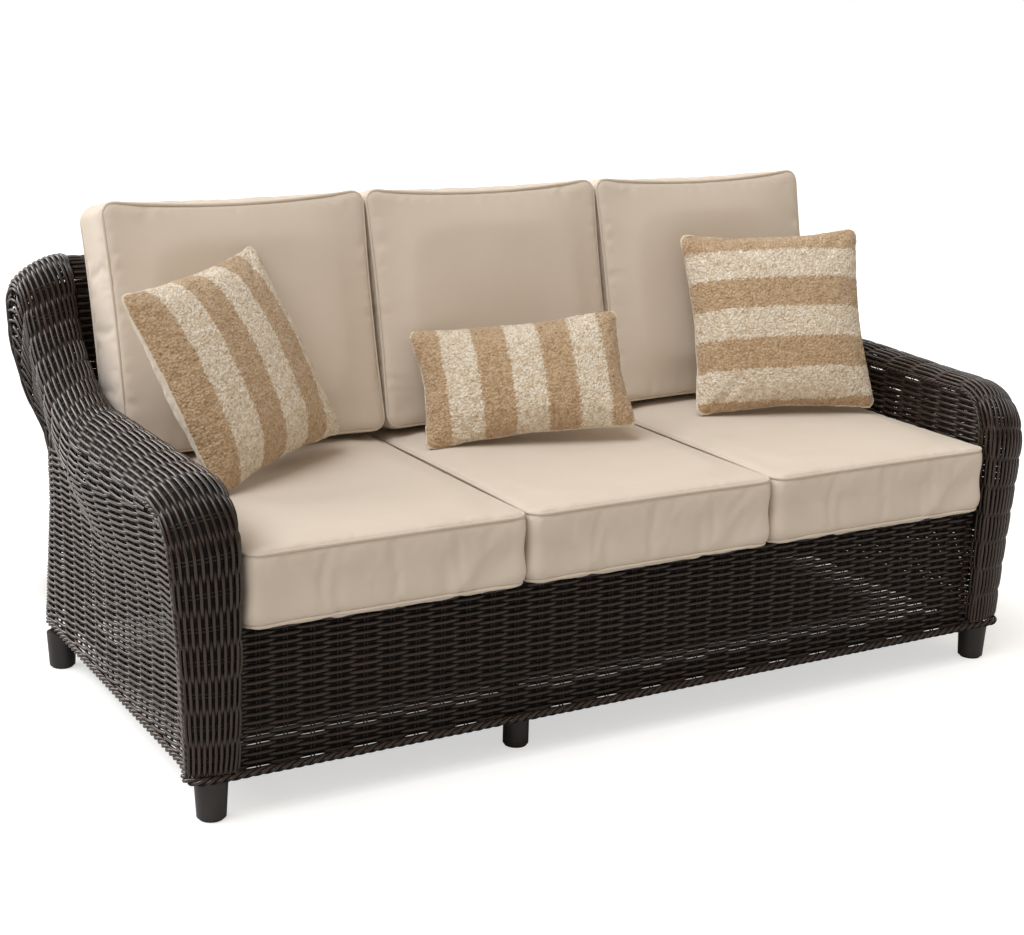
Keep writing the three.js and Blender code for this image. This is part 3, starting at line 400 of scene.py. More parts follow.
def strands(
    guides, radius, height=0.0, swing=0.0, square=0.05, sag=0.0,
    segment=12.0, sides=6, uneven=0.0, seed=1, material=None,
):
    """One plain mesh of strands; sizes in millimetres."""
    points, facing, sideways, phase, tones = zip(*guides)
    shades = [np.full(len(line), shade) for line, shade in zip(points, tones)]
    edges = []
    start = 0
    for line in points:
        edges.append(np.stack([np.arange(len(line) - 1), np.arange(1, len(line))], 1) + start)
        start += len(line)
    mesh = bpy.data.meshes.new("guides")
    mesh.from_pydata(np.concatenate(points).tolist(), np.concatenate(edges).tolist(), [])
    for name, kind, data in (
        ("facing", "FLOAT_VECTOR", facing),
        ("sideways", "FLOAT_VECTOR", sideways),
        ("phase", "FLOAT", phase),
        ("tone", "FLOAT", shades),
    ):
        layer = mesh.attributes.new(name, kind, "POINT")
        layer.data.foreach_set("vector" if "VECTOR" in kind else "value", np.concatenate(data).ravel())
    inputs = {
        "Strand radius": radius * MM,
        "Wave height": height * MM,
        "Squareness": square,
        "Swing": swing * MM,
        "Sag": sag * MM,
        "Segment length": segment * MM,
        "Unevenness": uneven * MM,
        "Sides": sides,
        "Seed": seed,
        "Material": material or wicker,
    }
    made = modified(mesh, "NODES", {"node_group": STRANDS}, inputs)
    bpy.data.meshes.remove(mesh)
    for name in ("facing", "sideways", "phase"):
        if name in made.attributes:
            made.attributes.remove(made.attributes[name])
    return made


def joined(name, meshes):
    """Several meshes as one object at the origin."""
    objects = [bpy.data.objects.new(name, mesh) for mesh in meshes]
    for piece in objects:
        scene.collection.objects.link(piece)
    if len(objects) > 1:
        with bpy.context.temp_override(
            active_object=objects[0], selected_objects=objects, selected_editable_objects=objects
        ):
            bpy.ops.object.join()
    objects[0].name = name
    objects[0].data.name = name
    return objects[0]


def woven_piece(name, meshes, *nodes):
    """A woven piece of the frame, in place of the solids named."""
    piece = joined(name, meshes)
    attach(piece, "sofa_frame")
    if nodes:
        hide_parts(*nodes)


# Shape of the sofa
WELL_HALF = 845.0
SKIN = 9.0
ARM_BASE_Z = 92.0
CREST_Y, CREST_Z, CREST_R = 893.9, 801.0, 60.0
OUTER_CREST_Z = 745.0
REAR_Y = CREST_Y + CREST_R
LEAN_DEGREES = 13.7
LEAN = math.radians(LEAN_DEGREES)
SEAT_TOP_Z = 485.4
DECK_TOP_Z = 352.4
BACK_TOP_Z = 800.7
APRON_HALF = WELL_HALF - 0.3
APRON_Y, APRON_LOW_Z, APRON_HIGH_Z = 26.5, 74.0, 348.0
BACK_PANEL_Y = 754.39

# Weave: strands lie this deep in the skin and wave over pairs of stakes
WEAVE_DEPTH = 7.0
ROLL_WAVE, INNER_WAVE = 2.8, 1.9
SQUARE = 2.4
STAKE, STAKE_GAP = 1.5, 3.2
# The stakes' wave phase: they do not wave, and it only sets how much of the wicker's painted shade they get
STAKE_SHADE = -0.06
STAKE_TONE = 0.3
FRONT_STAKE_PITCH, TOP_STAKE_PITCH, PANEL_STAKE_PITCH, APRON_STAKE_PITCH = 62.0, 59.0, 58.0, 52.0
ROW_END_GAP, STAKE_END_GAP = 1.5, 1.0
SHORTEST_ROW, SHORTEST_STAKE = 12.0, 8.0
DOWN = (0, 0, -1.0)
OUTWARD = np.array([1.0, 0, 0])
luck = random.Random(7)


def tone():
    return luck.random()


def back_panel_y(z):
    """Where the leaning back panel stands at a height."""
    return BACK_PANEL_Y + (z - SEAT_TOP_Z) * math.tan(LEAN)


def arm_edge(foot_y, front_y, lean_z, top_z, curl, sweep, crest_z):
    """Five stretches of an arm's edge seen from the side, each as share -> point, heading."""
    rise = top_z + sweep
    sweep_y = CREST_Y - math.sqrt((sweep + CREST_R) ** 2 - (rise - crest_z) ** 2)
    touch = math.atan2(crest_z - rise, CREST_Y - sweep_y)
    curl_y, curl_z = front_y + curl, top_z - curl

    def post(t):
        a, b, c = (foot_y, ARM_BASE_Z), (front_y, lean_z), (front_y, curl_z)
        point = [(1 - t) ** 2 * a[i] + 2 * t * (1 - t) * b[i] + t * t * c[i] for i in (0, 1)]
        heading = [2 * (1 - t) * (b[i] - a[i]) + 2 * t * (c[i] - b[i]) for i in (0, 1)]
        return point, heading

    def arc(cy, cz, radius, start, end):
        way = 1 if end > start else -1

        def at(t):
            angle = lerp(start, end, t)
            y, z = math.cos(angle), math.sin(angle)
            return [cy + radius * y, cz + radius * z], [-way * z, way * y]

        return at

    def along(t):
        return [lerp(curl_y, sweep_y, t), top_z], [1.0, 0.0]

    return [
        post,
        arc(curl_y, curl_z, curl, math.pi, math.pi / 2),
        along,
        arc(sweep_y, rise, sweep, -math.pi / 2, touch),
        arc(CREST_Y, crest_z, CREST_R, touch + math.pi, 0.0),
    ]


INNER_EDGE = arm_edge(
    foot_y=18.0, front_y=0.0, lean_z=250.0, top_z=597.0, curl=107.0, sweep=240.0, crest_z=CREST_Z
)
OUTER_EDGE = arm_edge(
    foot_y=36.0, front_y=33.0, lean_z=250.0, top_z=565.0, curl=95.0, sweep=400.0, crest_z=OUTER_CREST_Z
)

# At the ends of the five stretches: reach of the outer edge, height of the roll's dome, depth of its flange
FOOT_OUT, BEND_OUT, REAR_OUT = 96.0, 75.0, 57.0
OUTER_X = [WELL_HALF + out for out in (FOOT_OUT, 120, 128, 121, 111, 111)]
DOMES = [14, 20, 31, 42, 39, 0]
FLANGES = [34, 34, 6, 6, 6, 6]
STRETCH_STEPS = [34, 14, 30, 34, 14]
CURL_END = STRETCH_STEPS[0] + STRETCH_STEPS[1]


def arm_station(stretch, share):
    """One section of the roll: its edges, the way out, the height of its dome and its flange."""
    inside, in_way = INNER_EDGE[stretch](share)
    outside, out_way = OUTER_EDGE[stretch](share)
    heading = unit(in_way) + unit(out_way)
    if stretch == 0 and share == 0:
        heading = np.array([0.0, 1.0])
    spread = share**1.7 if stretch == 0 else share
    inner = np.array([WELL_HALF, *inside])
    outer = np.array([lerp(OUTER_X[stretch], OUTER_X[stretch + 1], spread), *outside])
    forward = unit([0.0, heading[0], heading[1]])
    flange = eased(FLANGES[stretch], FLANGES[stretch + 1], share) - (inside[0] if stretch == 0 else 0)
    return {
        "inner": inner,
        "outer": outer,
        "out": unit(np.cross(outer - inner, forward)),
        "dome": eased(DOMES[stretch], DOMES[stretch + 1], share),
        "flange": flange,
        "edge_out": -np.array([0.0, forward[2], -forward[1]]),
    }


stations = [
    arm_station(stretch, i / steps)
    for stretch, steps in enumerate(STRETCH_STEPS)
    for i in range(0 if stretch == 0 else 1, steps + 1)
]
outer_line = np.array([s["outer"] for s in stations])
inner_line = np.array([s["inner"] for s in stations])

# How many spaces between stakes lie before each station of the roll
mean_walk = walked_length((outer_line + inner_line) / 2)
outer_walk = walked_length(outer_line)
top_walk = outer_walk - outer_walk[CURL_END]
front_stakes = round(mean_walk[CURL_END] / FRONT_STAKE_PITCH)
top_stakes = round(top_walk[-1] / TOP_STAKE_PITCH)
roll_count = np.where(
    np.arange(len(stations)) <= CURL_END,
    mean_walk / mean_walk[CURL_END] * front_stakes,
    front_stakes + top_walk / top_walk[-1] * top_stakes,
)


def roll_section(station, count):
    """Points at equal steps across the roll's skin, in its middle, with the way that it faces."""
    across = station["outer"] - station["inner"]
    sideways = unit(across)
    half = np.linalg.norm(across) / 2
    line = [station["inner"] - station["edge_out"] * station["flange"]]
    faces = [-OUTWARD]
    for angle in np.linspace(0, math.pi, 25):
        high, along = math.sin(angle), math.cos(angle)
        line.append(station["inner"] + across * (1 - along) / 2 + station["out"] * station["dome"] * high)
        faces.append(unit(station["out"] * half * high - sideways * max(station["dome"], SKIN) * along))
    line, faces = np.array(line), np.array(faces)
    faces[1], faces[-1] = -OUTWARD, unit(faces[-2] + OUTWARD)
    walk = walked_length(line)
    at = (np.arange(count) + 0.5) / count * walk[-1]
    return sampled(line - faces * WEAVE_DEPTH, walk, at), unit(sampled(faces, walk, at))


def paired_stakes(path, facing):
    """The two thin stakes of one place, either side of the line they follow."""
    aside = unit(np.cross(np.gradient(path, axis=0), facing)) * STAKE_GAP
    return [guide(path + aside * s, facing, STAKE_SHADE, tone=STAKE_TONE) for s in (-1, 1)]


ROLL_ROWS = 26


def arm_roll(side):
    """Rows that follow the roll from the foot of the post to the crest, over stakes that cross it."""
    sections = [roll_section(s, ROLL_ROWS) for s in stations]
    grid = mirrored([p for p, _ in sections], side)
    faces = mirrored([f for _, f in sections], side)
    rows, stakes = [], []
    for j in range(ROLL_ROWS):
        rows.append(guide(grid[:, j], faces[:, j], (roll_count + j) / 2, tone=tone()))
    for k in range(front_stakes + top_stakes):
        path = np.array([sampled(grid[:, j], roll_count, k + 0.5) for j in range(ROLL_ROWS)])
        facing = np.array([sampled(faces[:, j], roll_count, k + 0.5) for j in range(ROLL_ROWS)])
        stakes += paired_stakes(path, unit(facing))
    skin = {"square": SQUARE, "segment": 7.0, "uneven": 1.0, "seed": 3 + side}
    woven_piece(
        f"{side_name(side)}_arm_roll_weave",
        [
            strands(rows, radius=3.5, height=ROLL_WAVE, **skin),
            strands(stakes, radius=STAKE, segment=9.0, sides=5),
        ],
        f"{side_name(side)}_arm_roll",
    )


# The outer side of an arm: a patch between the roll's edge, the post's edge and the base
side_front, side_top = (
    np.array([s["outer"] - s["edge_out"] * 0.3 for s in part])
    for part in (stations[: CURL_END + 1], stations[CURL_END:])
)
FOOT, FRONT_TOP, REAR_TOP = side_front[0], side_top[0], side_top[-1]
REAR_FOOT = np.array([WELL_HALF + REAR_OUT, REAR_TOP[1], ARM_BASE_Z])
BEND_Y = 115.0
WAIST_OUT, WAIST_Z, FLARE_Z = 40.0, 330.0, 470.0


def along_line(line, axis, at):
    """Points of a line where one of its coordinates has the values given."""
    order = np.argsort(line[:, axis], kind="stable")
    return np.array([np.interp(at, line[order, axis], line[order, i]) for i in range(3)])


def bottom_x(y):
    """How far out the lower edge of the outer side stands."""
    front = np.clip((y - FOOT[1]) / (BEND_Y - FOOT[1]), 0, 1)
    back = np.clip((y - BEND_Y) / (REAR_FOOT[1] - BEND_Y), 0, 1)
    return eased(FOOT[0], WELL_HALF + BEND_OUT, front) + back * (REAR_OUT - BEND_OUT)


def rear_x(z):
    """How far out the rear edge of the outer side stands: it narrows to a waist and flares to the crest."""
    drawn = np.clip((z - ARM_BASE_Z) / (WAIST_Z - ARM_BASE_Z), 0, 1)
    flared = np.clip((z - FLARE_Z) / (REAR_TOP[2] - FLARE_Z), 0, 1)
    return lerp(WELL_HALF + lerp(REAR_OUT, WAIST_OUT, drawn), REAR_TOP[0], flared * (2 - flared))


def side_skin(y, z):
    """Points of the outer side's skin over points of its own upright plane."""
    y, z = (np.asarray(a, float) for a in np.broadcast_arrays(y, z))
    u = np.full(y.shape, 0.5)
    for _ in range(24):
        top = along_line(side_top, 1, lerp(FRONT_TOP[1], REAR_TOP[1], u))
        v = np.clip((z - ARM_BASE_Z) / (top[2] - ARM_BASE_Z), 0, 1)
        front = along_line(side_front, 2, lerp(FOOT[2], FRONT_TOP[2], v))
        u = np.clip((y - front[1]) / (REAR_TOP[1] - front[1]), 0, 1)
    x = bottom_x(lerp(FOOT[1], REAR_FOOT[1], u)) * (1 - v) + top[0] * v
    x += front[0] * (1 - u) + rear_x(lerp(REAR_FOOT[2], REAR_TOP[2], v)) * u
    x -= lerp(FOOT[0], REAR_FOOT[0], u) * (1 - v) + lerp(FRONT_TOP[0], REAR_TOP[0], u) * v
    return np.stack([x, y, z], -1)


# On the outer side level rows fall a little to the rear, and those above them sweep up with the roll
SIDE_PITCH, SWEPT_PITCH = 6.65, 7.2
MOST_SWEPT = 26
SWEPT_POINTS = 90
BREAK_Y = [0.0, 128.0, 345.0, 520.0, 720.0, 954.0]
BREAK_Z = [562.0, 548.0, 515.0, 490.0, 475.0, 457.0]
TURN_Y, TURN_Z, TURN_R = 903.0, 459.0, 42.0
SHORTEST_SWEPT_STAKE = 14.0
FAN_START, FAN_LEAN = 170.0, 0.28
FAN_SPACE, FAN_SPREAD = 62.0, 0.0437
LEVEL_ROWS = 70
LOWEST_ROW_Z = ARM_BASE_Z - 4.0
LEVEL_END, LEVEL_EASE = 12.0, 60.0
TUCK_DEPTH, TUCK_LOW_Z, TUCK_HIGH_Z = 4.0, 450.0, 475.0


def stake_fan(z):
    """Where the stakes of the outer side start at a height, and how far apart they are."""
    return FAN_START - FAN_LEAN * z, FAN_SPACE + FAN_SPREAD * z


def side_count(y, z):
    """How many spaces between stakes lie in front of a point."""
    first, space = stake_fan(z)
    return (y - first) / space


def round_corner(x, y, z):
    """Takes a row round the rear corner, from the side to the rear."""
    overlap = 22.0
    turn = REAR_Y - WEAVE_DEPTH - y
    angles = np.linspace(0.2, math.pi / 2, 5)
    points = [(x - turn * (1 - math.cos(a)), y + turn * math.sin(a), z) for a in angles]
    points.append((x - turn - overlap, y + turn, z))
    return points, [(math.cos(a), math.sin(a), 0) for a in angles] + [(0, 1, 0)]


def level_rows(side):
    """Rows below the break line; each reaches the rear edge and goes round it, or ends at the base."""
    made = []
    first_share = 0.15
    front_y = OUTER_EDGE[1](0)[0][0]
    end_y = REAR_TOP[1] - LEVEL_END
    for j in range(LEVEL_ROWS):
        low = np.interp(front_y, BREAK_Y, BREAK_Z) - (j + 0.5) * SIDE_PITCH
        start = along_line(side_front, 2, max(low, ARM_BASE_Z))[1] + 2.0
        y = np.linspace(start, end_y, 90)
        z = np.interp(y, BREAK_Y, BREAK_Z) - (j + first_share) * SIDE_PITCH
        y, z = y[z > LOWEST_ROW_Z], z[z > LOWEST_ROW_Z]
        if len(y) < 3:
            continue
        line = side_skin(y, z) - OUTWARD * WEAVE_DEPTH
        facing = np.tile(OUTWARD, (len(y), 1))
        count = side_count(y, z)
        if y[-1] == end_y:
            corner = math.ceil(count[-1])
            near_end = np.clip(1 - (end_y - y) / (LEVEL_EASE - LEVEL_END), 0, 1)
            count = eased(count, corner, near_end)
            points, ways = round_corner(*line[-1])
            line, facing = np.concatenate([line, points]), np.concatenate([facing, ways])
            count = np.concatenate([count, np.full(len(points), corner)])
        line, facing = mirrored(line, side), mirrored(facing, side)
        made.append(guide(line, facing, (count + j) / 2, sideways=DOWN, tone=tone()))
    return made


def on_side(y, z, side):
    """Middles of strands in the skin of one arm's outer side."""
    return mirrored(side_skin(y, z) - OUTWARD * WEAVE_DEPTH, side)


def swept_rows(side):
    """Rows and stakes between the break line, the rear edge and the roll."""
    facing = mirrored(OUTWARD, side)
    top = outer_line[CURL_END:]
    top = top[: np.argmax(top[:, 1] > CREST_Y + 0.7 * CREST_R) + 1]
    walk = walked_length(top)
    upper = resampled(top[:, 1:], SWEPT_POINTS)
    shares = np.linspace(0, 1, SWEPT_POINTS)
    counts = np.interp(shares, walk / walk[-1], roll_count[CURL_END : CURL_END + len(top)])
    lower = [(y, np.interp(y, BREAK_Y, BREAK_Z)) for y in np.linspace(upper[0][0], TURN_Y - 3.0, 40)]
    for a in np.linspace(0.2, math.pi / 2, 6):
        lower.append((TURN_Y + TURN_R * math.sin(a), TURN_Z + TURN_R * (1 - math.cos(a))))
    lower += [(TURN_Y + TURN_R, OUTER_CREST_Z), tuple(upper[-1])]
    lower = resampled(np.array(lower), SWEPT_POINTS)
    gap = np.array([np.linalg.norm(lower - point, axis=1).min() for point in upper])
    room = np.minimum(gap / SWEPT_PITCH, MOST_SWEPT)
    rows, stakes = [], []
    for m in range(MOST_SWEPT + 1):
        held = room > m + 0.5
        if held.sum() < 4:
            continue
        share = ((m + 0.5) / np.maximum(room, 0.1))[held][:, None]
        flat = lerp(upper[held], lower[held], share)
        rows.append(guide(on_side(*flat.T, side), facing, (counts[held] + m + 1) / 2, tone=tone()))
    for k in range(front_stakes, front_stakes + top_stakes):
        at = np.interp(k + 0.5, counts, np.arange(SWEPT_POINTS))
        ends = [sampled(edge, np.arange(SWEPT_POINTS), at) for edge in (upper, lower)]
        if k + 0.5 < counts[-1] and np.linalg.norm(ends[0] - ends[1]) > SHORTEST_SWEPT_STAKE:
            stakes += paired_stakes(on_side(*np.linspace(*ends, 12).T, side), facing)
    return rows, stakes


def corner_rows(side):
    """The strands that close the rear corner above the level rows, the outermost one first."""
    made = []
    depth, wave_length = 4.5, 110.0
    for index, inset in enumerate((5.0, 11.0, 17.0)):
        straight = np.linspace(TUCK_LOW_Z - 6.0 + 2 * index, OUTER_CREST_Z, 30)
        angles = np.linspace(0.1, 1.3, 10)
        radius = CREST_R - inset
        y = np.concatenate([np.full(30, REAR_Y - inset), CREST_Y + radius * np.cos(angles)])
        z = np.concatenate([straight, OUTER_CREST_Z + radius * np.sin(angles)])
        tucked_in = TUCK_DEPTH * np.clip((TUCK_HIGH_Z - z) / (TUCK_HIGH_Z - TUCK_LOW_Z), 0, 1)[:, None]
        line = side_skin(y, z) - OUTWARD * depth - tucked_in * (1.0, 1.0, 0.0)
        phase = walked_length(line) / wave_length + index / 2
        made.append(guide(mirrored(line, side), (side, 1.0, 0), phase, tone=tone()))
    return made


def outer_side(side):
    """The outer side of an arm; its upright stakes end a few millimetres inside the edges of the patch."""
    front_gap, rear_gap, top_gap = 5.0, 8.0, 1.0
    rows, stakes = swept_rows(side)
    rows += level_rows(side)
    for k in range(-1, 13):
        z = np.linspace(ARM_BASE_Z + 3.0, BREAK_Z[0] - 2.0, 40)
        first, space = stake_fan(z)
        y = first + space * (k + 0.5)
        front = along_line(side_front, 2, z)[1]
        held = (y > front + front_gap) & (y < REAR_TOP[1] - rear_gap)
        held &= z < np.interp(y, BREAK_Y, BREAK_Z) - top_gap
        if held.sum() > 3:
            stakes += paired_stakes(on_side(y[held], z[held], side), mirrored(OUTWARD, side))
    skin = {"square": SQUARE, "sag": 0.3, "segment": 7.0, "uneven": 0.9, "seed": 11 + side}
    closing = {"square": SQUARE, "segment": 8.0, "uneven": 0.8, "seed": 17}
    woven_piece(
        f"{side_name(side)}_arm_outer_side_weave",
        [
            strands(rows, radius=3.4, height=ROLL_WAVE, **skin),
            strands(corner_rows(side), radius=3.2, height=1.2, **closing),
            strands(stakes, radius=STAKE, segment=16.0, sides=5),
        ],
        f"{side_name(side)}_arm_outer_side",
    )


# Flat panels: level rows cut to an outline
def spans(outline, level):
    """The stretches of a level line that lie inside a closed outline of (along, height) points."""
    hits = []
    for (a, b), (c, d) in zip(outline, np.roll(outline, -1, axis=0)):
        if (b - level) * (d - level) < 0:
            hits.append(a + (c - a) * (level - b) / (d - b))
    hits.sort()
    return list(zip(hits[::2], hits[1::2]))


def flat_panel(
    outline, to_space, facing, pitch, seed,
    stake_pitch=PANEL_STAKE_PITCH, segment=12.0, share=0.54, wave=INNER_WAVE, sag=0.5,
):
    """Woven rows and stakes inside an outline; to_space turns (along, height) into space."""
    outline = np.asarray(outline, float)
    low, high = outline[:, 1].min(), outline[:, 1].max()
    count = int((high - low - 4.0) / pitch)
    first = (low + high) / 2 - pitch * (count - 1) / 2
    rows, stakes = [], []
    for j in range(count):
        level = first + j * pitch
        for start, end in spans(outline, level):
            if end - start < SHORTEST_ROW:
                continue
            points = max(2, int((end - start) / SHORTEST_ROW))
            xs = np.linspace(start + ROW_END_GAP, end - ROW_END_GAP, points)
            line = [to_space(x, level) for x in xs]
            rows.append(guide(line, facing, (xs / stake_pitch + j) / 2, sideways=DOWN, tone=tone()))
    first = math.ceil(outline[:, 0].min() / stake_pitch - 0.5)
    last = math.floor(outline[:, 0].max() / stake_pitch - 0.5)
    for k in range(first, last + 1):
        for shift in (-STAKE_GAP, STAKE_GAP):
            x = (k + 0.5) * stake_pitch + shift
            for start, end in spans(outline[:, ::-1], x):
                if end - start < SHORTEST_STAKE:
                    continue
                zs = np.linspace(start + STAKE_END_GAP, end - STAKE_END_GAP, 6)
                line = [to_space(x, z) for z in zs]
                stakes.append(guide(line, facing, STAKE_SHADE, tone=STAKE_TONE))
    skin = {"square": SQUARE, "sag": sag, "segment": segment, "uneven": 0.9, "seed": seed}
    return [
        strands(rows, radius=pitch * share, height=wave, **skin),
        strands(stakes, radius=STAKE, segment=40.0, sides=5),
    ]


def inner_side(side):
    """The inner side of an arm, below the roll's flange and in front of the back panel."""
    under = [s["inner"] - s["edge_out"] * (s["flange"] + 0.3) for s in stations]
    outline = [(p[1], p[2]) for p in under if p[2] > DECK_TOP_Z and p[1] < back_panel_y(p[2]) + SKIN]
    outline.append((back_panel_y(DECK_TOP_Z) + SKIN, DECK_TOP_Z))
    outline.append((outline[0][0], DECK_TOP_Z))
    x = side * (WELL_HALF + WEAVE_DEPTH)
    weave = flat_panel(outline, lambda y, z: (x, y, z), (-side, 0, 0), pitch=6.8, seed=21 + side)
    woven_piece(f"{side_name(side)}_arm_inner_side_weave", weave, f"{side_name(side)}_arm_inner_side")


def upright_outline(half, low, high):
    return [(-half, low), (half, low), (half, high), (-half, high)]


def front_apron():
    """Rows from behind the border's rope, which hides the lowest of them, up to the seat's front."""
    weave = flat_panel(
        upright_outline(APRON_HALF, APRON_LOW_Z, APRON_HIGH_Z),
        lambda x, z: (x, APRON_Y + WEAVE_DEPTH, z),
        (0, -1, 0),
        pitch=7.35,
        seed=31,
        stake_pitch=APRON_STAKE_PITCH,
        segment=6.5,
        share=0.49,
        wave=3.0,
        sag=-0.4,
    )
    woven_piece("front_apron_weave", weave, "front_apron")


def back_panel():
    """The leaning panel behind the back cushions."""
    weave = flat_panel(
        upright_outline(APRON_HALF, DECK_TOP_Z, BACK_TOP_Z),
        lambda x, z: (x, back_panel_y(z) + WEAVE_DEPTH / math.cos(LEAN), z),
        (0, -math.cos(LEAN), math.sin(LEAN)),
        pitch=7.2,
        seed=37,
        segment=14.0,
        share=0.58,
        wave=1.6,
    )
    woven_piece("back_panel_weave", weave, "back_panel")


def rear_panel():
    """The upright rear skin, as wide as the arms' rear edges."""
    edge_gap = 12.0
    levels = np.linspace(ARM_BASE_Z, REAR_TOP[2], 24)
    right = [(rear_x(z) - edge_gap, z) for z in levels] + [(WELL_HALF, BACK_TOP_Z)]
    weave = flat_panel(
        right + [(-x, z) for x, z in right[::-1]],
        lambda x, z: (x, REAR_Y - WEAVE_DEPTH, z),
        (0, 1, 0),
        pitch=7.35,
        seed=41,
        segment=11.0,
        share=0.5,
        wave=2.8,
        sag=-0.3,
    )
    woven_piece("rear_panel_weave", weave, "rear_panel")


def back_roll():
    """Rows along the rolled top of the back, over stakes that cross it."""
    count = 29
    radius = CREST_R - WEAVE_DEPTH
    crest = np.array([0, CREST_Y, CREST_Z])
    xs = np.linspace(-APRON_HALF + 1, APRON_HALF - 1, 140)

    def over_crest(angle):
        return np.stack([0 * angle, -np.cos(angle), np.sin(angle)], -1)

    rows, stakes = [], []
    for j in range(count):
        facing = over_crest(math.pi * (j + 0.5) / count)
        line = crest + facing * radius + xs[:, None] * OUTWARD
        rows.append(guide(line, facing, (xs / PANEL_STAKE_PITCH + j) / 2, tone=tone()))
    facing = over_crest(np.linspace(0.01, math.pi - 0.01, 20))
    for k in range(-14, 15):
        for shift in (-STAKE_GAP, STAKE_GAP):
            line = crest + facing * radius + ((k + 0.5) * PANEL_STAKE_PITCH + shift) * OUTWARD
            stakes.append(guide(line, facing, STAKE_SHADE, tone=STAKE_TONE))
    woven_piece(
        "back_top_roll_weave",
        [
            strands(rows, radius=3.2, height=INNER_WAVE, square=SQUARE, segment=9.0, uneven=1.0, seed=43),
            strands(stakes, radius=STAKE, segment=10.0, sides=5),
        ],
        "back_top_roll",
    )


# Twisted edges
def twisted(path, facing, ply_radius, swing, pitch, closed=False):
    """Three plies twisted round a path; a closed path gets a whole number of turns."""
    plies = 3
    path = np.asarray(path, float)
    if closed:
        path = np.concatenate([path, path[:1]])
    walk = walked_length(path)
    steps = max(8, int(walk[-1] / 8))
    at = np.linspace(0, walk[-1], steps)
    line = sampled(path, walk, at)
    if np.ndim(facing) == 1:
        normal = np.tile(unit(facing), (steps, 1))
    else:
        normal = unit(sampled(facing, np.linspace(0, walk[-1], len(facing)), at))
    turns = at / walk[-1] * round(walk[-1] / pitch)
    guides = [guide(line, normal, turns + k / plies, tone=tone()) for k in range(plies)]
    return strands(guides, radius=ply_radius, height=swing, swing=swing, segment=5.0, sides=7, seed=5)


def border_loop():
    """The line of the rope round the base, with rounded corners and a bend behind each post."""
    border_z, bend, inset = 83.7, 34.0, 4.0
    front_y, back_y = 18.0, REAR_Y - inset
    front_x, side_x, back_x = (WELL_HALF + out - inset for out in (FOOT_OUT, BEND_OUT, REAR_OUT))

    def curve(a, b, c):
        a, b, c = (np.array([*p, border_z]) for p in (a, b, c))
        return [(1 - t) ** 2 * a + 2 * t * (1 - t) * b + t * t * c for t in np.linspace(0, 1, 7)]

    half = [np.array([0, front_y, border_z])]
    half += curve((front_x - bend, front_y), (front_x, front_y), (front_x, front_y + bend))
    half += curve((front_x, front_y + bend), (side_x, BEND_Y - bend), (side_x, BEND_Y + bend))
    half += curve((back_x, back_y - bend), (back_x, back_y), (back_x - bend, back_y))
    half.append(np.array([0, back_y, border_z]))
    return half + [p * (-1, 1, 1) for p in half[1:-1]][::-1]


def base_border():
    rope = twisted(border_loop(), (0, 0, 1), ply_radius=3.7, swing=4.2, pitch=60.0, closed=True)
    woven_piece("base_border_weave", [rope], "base_border")


def arm_braids(side):
    """Twisted strands that finish the corner of the post and the inner edge of the roll."""
    below_seat_top, behind_back_panel_y = 60.0, 760.0
    corner_inset, inner_inset, inner_sunk = 4.0, 1.0, 3.0
    front = stations[: CURL_END + 1]
    corner = [s["outer"] - s["edge_out"] * corner_inset - OUTWARD * WEAVE_DEPTH for s in front]
    facing = [unit(s["out"] + OUTWARD) for s in front]
    seat = [s for s in stations if s["inner"][2] > SEAT_TOP_Z - below_seat_top]
    seat = [s for s in seat if s["inner"][1] < behind_back_panel_y]
    under = [s["edge_out"] * (s["flange"] + inner_inset) for s in seat]
    inner = [s["inner"] - down + OUTWARD * inner_sunk for s, down in zip(seat, under)]
    inward = [-OUTWARD] * len(seat)
    braids = [
        twisted(mirrored(corner, side), mirrored(facing, side), ply_radius=3.1, swing=3.7, pitch=40.0),
        twisted(mirrored(inner, side), mirrored(inward, side), ply_radius=2.5, swing=3.0, pitch=42.0),
    ]
    woven_piece(f"{side_name(side)}_arm_braids", braids)


for side in (-1, 1):
    arm_roll(side)
    outer_side(side)
    inner_side(side)
    arm_braids(side)
front_apron()
back_panel()
rear_panel()
back_roll()
base_border()


# Cushions and pillows
SEAT_W, SEAT_D, SEAT_T = 558.0, 695.0, 133.0
BACK_H, BACK_T = 497.0, 145.0
SEAT_CROWN, BACK_CROWN = 15.0, 25.0
BOX_GAP = 1.5
SQUARE_PILLOW, LUMBAR_W, LUMBAR_H = 412.0, 446.0, 262.0
names = ("left", "middle", "right")


def of_vertices(mesh, what="co"):
    found = np.empty(len(mesh.vertices) * 3)
    mesh.vertices.foreach_get(what, found)
    return found.reshape(-1, 3)


def set_coordinates(mesh, points):
    mesh.vertices.foreach_set("co", np.asarray(points, float).ravel())
    mesh.update()


def nearest_of(points):
    """A search tree for the nearest of some points."""
    tree = KDTree(len(points))
    for i, p in enumerate(points):
        tree.insert(p, i)
    tree.balance()
    return tree


